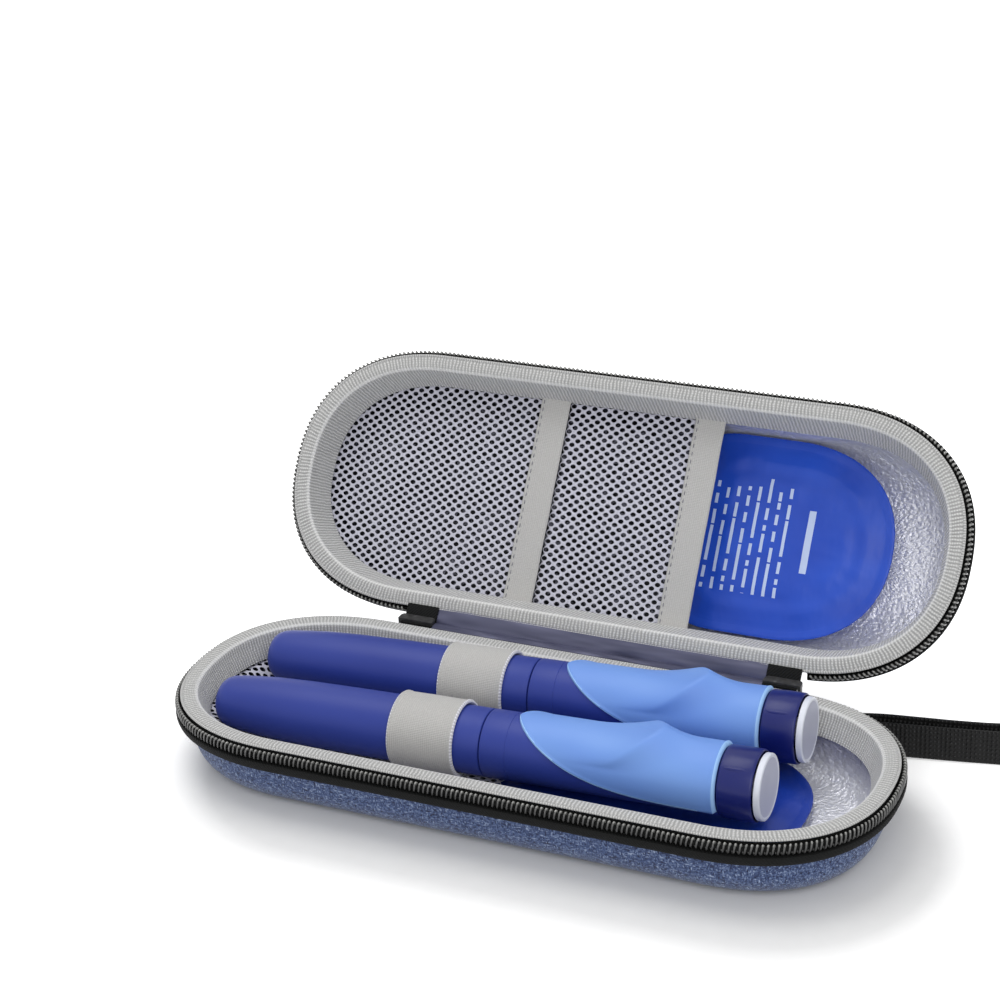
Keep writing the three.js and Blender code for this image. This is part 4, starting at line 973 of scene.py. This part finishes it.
def make_grip(pen):
    """A grid wrapped round the barrel, with a raised lip along its edge and a wall down to the barrel"""
    mean_radius = 9.6
    bm = bmesh.new()
    grid = bmesh.ops.create_grid(bm, x_segments=110, y_segments=72, size=1)["verts"]
    for vert in grid:
        along, around = (vert.co.x + 1) / 2, vert.co.y
        place = GRIP_START + 0.05 + (GRIP_LENGTH - 0.1) * (along ** 1.35)
        wrap = wrap_at(place)
        angle = wrap * around
        edge = min((1 - abs(around)) * wrap * mean_radius, GRIP_END - place)
        radius = grip_radius(place, angle) + 0.22 * math.exp(-((edge - 0.75) / 0.45) ** 2)
        radius -= GRIP_LIP * math.exp(-max(edge, 0) / 0.16)
        vert.co = (place, radius * math.sin(angle), radius * math.cos(angle))
    bmesh.ops.remove_doubles(bm, verts=bm.verts, dist=1e-3)
    # Faces along the lip take the second material, the painted highlight
    for face in bm.faces:
        x, y, z = face.calc_center_median()
        side = (wrap_at(x) - abs(math.atan2(y, z))) * mean_radius
        face.material_index = 1 if min(side, GRIP_END - x) < GRIP_LIP else 0
    rim = [e for e in bm.edges if e.is_boundary]
    walls = bmesh.ops.extrude_edge_only(bm, edges=rim)["geom"]
    for vert in (v for v in walls if isinstance(v, bmesh.types.BMVert)):
        shrink = 8.7 / max(math.hypot(vert.co.y, vert.co.z), 1e-6)
        vert.co.y *= shrink
        vert.co.z *= shrink
    name = f"pen_{pen}_grip"
    piece(name, bm, PENS[pen], GRIP, "pen_" + pen, "grip", name, angle=180, extra=(GRIP_EDGE_HIGHLIGHT,))


def make_ring(pen):
    outer = [(RING_START, 5.3), (RING_START, 9.0), (RING_START + 0.15, 9.3), (RING_START + 0.5, 9.45),
             (RING_START + 4.5, 9.55), (RING_END - 0.6, 9.5), (RING_END - 0.2, 9.38), (RING_END, 9.15),
             (RING_END, 9.05), (RING_END - 1.8, 9.05), (RING_END - 1.8, 5.3)]
    name = f"pen_{pen}_dose_ring"
    piece(name, spun(outer, closed=True), PENS[pen], RING, "ring_" + pen, "dose_ring", name, angle=40)
    bm = bmesh.new()
    bmesh.ops.create_uvsphere(bm, u_segments=24, v_segments=12, radius=1)
    turn = Matrix.Rotation(math.radians(38), 4, "X")
    shape = turn @ Matrix.Translation((RING_START + 4.1, 0, 9.42)) @ Matrix.Diagonal((3.1, 0.55, 0.28, 1))
    bmesh.ops.transform(bm, matrix=shape, verts=bm.verts)
    piece(f"pen_{pen}_dose_mark", bm, PENS[pen], RING, "ring_" + pen, "dose_ring", angle=180)


def make_button(pen):
    start = RING_END + 0.3
    end = start + 1.7
    stem, radius, rim = 16, 8.75, 7.6
    profile = [(start - stem, 0), (start - stem, 3), (start, 3), (start, 8.6), (start + 0.15, radius),
               (end - 0.5, radius), (end - 0.2, 8.68), (end, 8.4), (end, 7.95), (end - 0.12, 7.7),
               (end - 0.16, 7.3), (end - 0.12, 0)]
    name = f"pen_{pen}_injection_button"
    bm = spun(profile)
    # Faces round the rim take the second material, the painted highlight
    for face in bm.faces:
        _, y, z = face.calc_center_median()
        face.material_index = 1 if math.hypot(y, z) > rim else 0
    piece(name, bm, PENS[pen], BUTTON, "button_" + pen, "button", name, angle=40, extra=(BUTTON_RIM_HIGHLIGHT,))


for pen in PENS:
    make_cap(pen)
    make_barrel(pen)
    make_grip(pen)
    make_ring(pen)
    make_button(pen)


# Hinge: folded film in the valley, and a black tab at each end of it
def make_fold(name, left, right, material, finish_slot, thickness, depth, seed):
    """A folded strip from the base lining's edge, through the valley, to the lid lining's edge"""
    folds = 6
    edge = LID_TURN @ Vector((0, HINGE_Y - HALF_WIDTH + 0.5, -RIM_GAP - 0.25))
    start = Vector((0, HALF_WIDTH + 0.2, BASE["depth"] - 0.1))
    valley = Vector((0, HINGE_Y, HINGE_Z - 0.75))
    stop = Vector((0, HINGE_Y + edge.y, HINGE_Z + edge.z))
    line = []
    for i in range(folds + 1):
        line.append(start.lerp(valley, i / folds) + Vector((0, 0, 0.35 * math.sin(math.pi * i / folds))))
    for i in range(1, folds + 1):
        line.append(valley.lerp(stop, i / folds) + Vector((0, -0.3, 0.1)) * math.sin(math.pi * i / folds))
    steps = max(6, round((right - left) / 1.2))
    along = [(right - left) * i / steps for i in range(steps + 1)]
    places = []
    for j, point in enumerate(line):
        swing = depth * math.sin(math.pi * j / (2 * folds))
        rises = [point.z + swing * ripple((left + x) / 9, j / 3, seed) for x in along]
        places.append([(left + x, point.y, z) for x, z in zip(along, rises)])
    bm, rows = rows_of(places, False)
    lay_out(bm, rows, [0.9 * j for j in range(len(line))], along, False)
    bm.normal_update()
    bmesh.ops.solidify(bm, geom=bm.faces, thickness=thickness)
    obj = piece(name, bm, TO_METRES, material, None, finish_slot, name, angle=50)
    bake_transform(obj)


make_fold("hinge_gusset", -45.95, 52.95, GUSSET, "gusset_film", 0.25, 0.7, 3.0)
make_fold("hinge_tab_left", -55.6, -46.0, TAPE, "zipper_tape", 0.7, 0.1, 6.0)
make_fold("hinge_tab_right", 53.0, 62.6, TAPE, "zipper_tape", 0.7, 0.1, 8.0)


# Wrist strap: ribbed webbing on edge, sewn to its anchor patch
STRAP_ROUTE = [
    (60.6, 36.05, 7.6), (64.5, 36.7, 7.4), (69, 38.7, 7), (75, 42.1, 6.4), (82.8, 45.3, 5.8),
    (94, 47.8, 5.5), (104.5, 49.8, 5.4), (114.8, 51.8, 5.4), (130, 54.4, 5.4), (148, 57, 5.4),
    (166, 59, 5.4), (182, 60.2, 5.4), (193, 61.4, 5.4), (200.6, 65.4, 5.4), (203, 72, 5.4),
    (199.6, 78.4, 5.4), (191, 81, 5.4), (178, 79.6, 5.4), (160, 75, 5.4), (142, 69.4, 5.4),
    (127, 61.2, 5.4), (114, 56.1, 5.4), (103.5, 53.6, 5.5), (93, 51.6, 5.7), (82, 49.2, 6),
    (74, 45.9, 6.4), (68, 42, 7), (64, 38.8, 7.4), (60.6, 37.55, 7.6),
]


def smooth_route(points, step):
    """The route as a smooth line, in even steps"""
    points = [Vector(p) for p in points]
    dense, parts = [], 60
    for i in range(len(points) - 1):
        a, b = points[i], points[i + 1]
        before = points[i - 1] if i else a - (b - a)
        after = points[i + 2] if i + 2 < len(points) else b + (b - a)
        gaps = [max((q - p).length ** 0.5, 1e-4) for p, q in ((before, a), (a, b), (b, after))]
        leave = ((a - before) / gaps[0] - (b - before) / (gaps[0] + gaps[1]) + (b - a) / gaps[1]) * gaps[1]
        arrive = ((b - a) / gaps[1] - (after - a) / (gaps[1] + gaps[2]) + (after - b) / gaps[2]) * gaps[1]
        for t in (k / parts for k in range(parts)):
            dense.append(a * (2 * t ** 3 - 3 * t ** 2 + 1) + leave * (t ** 3 - 2 * t ** 2 + t)
                         + b * (3 * t ** 2 - 2 * t ** 3) + arrive * (t ** 3 - t ** 2))
    dense.append(points[-1])
    total = lengths_along(dense)
    count = round(total[-1] / step)
    line, here = [], 0
    for i in range(count + 1):
        wanted = total[-1] * i / count
        while here < len(dense) - 2 and total[here + 1] < wanted:
            here += 1
        span = max(total[here + 1] - total[here], 1e-9)
        line.append(dense[here].lerp(dense[here + 1], min(max((wanted - total[here]) / span, 0), 1)))
    return line, total[-1]


def make_strap():
    """Webbing with a rib every fourth step of its line"""
    rib_spacing, rib_steps = 1.35, 4
    line, length = smooth_route(STRAP_ROUTE, rib_spacing / rib_steps)
    half, thick = 5.0, 0.6
    near = [(-half, -0.35), (-half + 0.3, -0.55), (-3.9, -thick), (-1.3, -thick), (1.3, -thick),
            (3.9, -thick), (half - 0.3, -0.55), (half, -0.35)]
    section = near + [(height, -depth) for height, depth in reversed(near)]
    places = []
    for i, point in enumerate(line):
        ahead = line[min(i + 1, len(line) - 1)] - line[max(i - 1, 0)]
        out = Vector((ahead.y, -ahead.x, 0)).normalized()
        rib = 0.13 * math.cos(2 * math.pi * i / rib_steps)
        row = []
        for height, depth in section:
            swell = rib if abs(height) < 4.5 else 0
            row.append(point + Vector((0, 0, height)) + out * (depth + math.copysign(1, depth) * swell))
        places.append(row)
    bm, rows = rows_of(places, True)
    along = [length * i / (len(line) - 1) for i in range(len(line))]
    lay_out(bm, rows, along, lengths_along(section + section[:1]), True)
    plugged(bm)
    obj = piece("wrist_strap", bm, TO_METRES, WEBBING, "base", "webbing", "wrist_strap", angle=60)


make_strap()


def make_anchor():
    """Folded webbing patch on the back wall, box-stitched"""
    bm = bmesh.new()
    bmesh.ops.create_cube(bm, size=1)
    shape = Matrix.Translation((53, 36.8, 7.8)) @ Matrix.Diagonal((14, 3.1, 10.4, 1))
    bmesh.ops.transform(bm, matrix=shape, verts=bm.verts)
    bmesh.ops.bevel(bm, geom=bm.edges, offset=0.7, segments=3, profile=0.5, affect="EDGES", material=-1)
    flat_map(bm, "cloth", 2)
    piece("strap_anchor", bm, TO_METRES, WEBBING, "base", "webbing", "strap_anchor", angle=60)


make_anchor()


# CAD pieces that keep their own shape
def refinish(node, material):
    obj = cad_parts[node]
    obj.data.materials.clear()
    obj.data.materials.append(material)


for side in ("left", "right"):
    refinish(f"slider_{side}", SLIDER)
    refinish(f"slider_pull_{side}", SLIDER)
for pen in PENS:
    refinish(f"pen_{pen}_cartridge_holder", POLYMER)
    refinish(f"pen_{pen}_cartridge", GLASS)
    refinish(f"pen_{pen}_plunger", PLUNGER)
    refinish(f"pen_{pen}_piston_rod", ROD)


# Floor and light
def seen_rays(tree):
    """1 for rays that show the background, straight or by a mirror or glass"""
    rays = add(tree, "LightPath", out=None)
    seen = add(tree, "Math", {0: rays["Is Camera Ray"], 1: rays["Is Glossy Ray"]}, operation="MAXIMUM")
    return add(tree, "Math", {0: seen, 1: rays["Is Transmission Ray"]}, operation="MAXIMUM")


def make_floor():
    """White paper, with a painted shadow in a rounded field under the case and its front, and a painted glow
    beyond it
    """
    bm = bmesh.new()
    bmesh.ops.create_grid(bm, x_segments=1, y_segments=1, size=6)
    mesh = bpy.data.meshes.new("floor")
    bm.to_mesh(mesh)
    bm.free()
    floor = bpy.data.objects.new("floor", mesh)
    scene.collection.objects.link(floor)
    paper, tree, place = new_finish("white_studio_paper", Roughness=0.9)
    grain = threads(tree, place, (6.0, 6.0, 6.0))
    beside = place
    for operation, along, across in (("SUBTRACT", 0.012, -0.008), ("ABSOLUTE", 0, 0), ("SUBTRACT", 0.059, 0),
                                     ("MAXIMUM", 0, 0)):
        beside = add(tree, "VectorMath", {0: beside, 1: (along, across, 0)}, operation=operation)
    reach = add(tree, "VectorMath", {0: beside}, out="Value", operation="LENGTH")
    past_painted_shadow = add(tree, "MapRange", {"Value": reach, "From Min": 0.04, "From Max": 0.062})
    # Painted shadow: within the field the paper is greyer, e7e7e7 to ececec
    tone = mixed(tree, past_painted_shadow, mixed(tree, grain, "e7e7e7", "ececec"), mixed(tree, grain, "fafafa", "ffffff"))
    # Painted light: for rays that see it, the paper glows more the farther it lies from the case, which washes
    # out the case's shadow there
    glow_away_from_case = add(tree, "MapRange", {"Value": reach, "From Min": 0.042, "From Max": 0.09, "To Min": 0.02})
    glow = add(tree, "Math", {0: seen_rays(tree), 1: glow_away_from_case}, operation="MULTIPLY")
    shader = tree.nodes["Principled BSDF"]
    shader.inputs["Emission Color"].default_value = colour("ffffff")
    tree.links.new(glow, shader.inputs["Emission Strength"])
    mesh.materials.append(finished(paper, tone))


def make_lamp(name, place, aim, size, energy):
    lamp = bpy.data.lights.new(name, "AREA")
    lamp.shape = "SQUARE"
    lamp.size = size
    lamp.energy = energy
    obj = bpy.data.objects.new(name, lamp)
    scene.collection.objects.link(obj)
    obj.location = place
    obj.rotation_euler = (Vector(aim) - Vector(place)).to_track_quat("-Z", "Y").to_euler()


def make_world():
    world = bpy.data.worlds.new("studio")
    scene.world = world
    world.use_nodes = True
    tree = world.node_tree
    tree.nodes.clear()
    height = add(tree, "SeparateXYZ", {"Vector": add(tree, "TexCoord", out="Generated")}, out="Z")
    level = add(tree, "MapRange", {"Value": height, "To Min": 0.36, "To Max": 0.8})
    soft = add(tree, "Background", {"Color": "ffffff", "Strength": level})
    white = add(tree, "Background", {"Color": "ffffff", "Strength": 1.0})
    both = add(tree, "MixShader", {0: seen_rays(tree), 1: soft, 2: white})
    add(tree, "OutputWorld", {"Surface": both}, out=None)


scene.view_settings.view_transform = "Standard"
make_floor()
make_world()
make_lamp("key", (-0.3, 0.1, 0.95), (0, 0.02, 0), 0.6, 3.0)
make_lamp("fill", (0.45, -0.65, 0.6), (0, 0.02, 0.02), 0.7, 2.8)
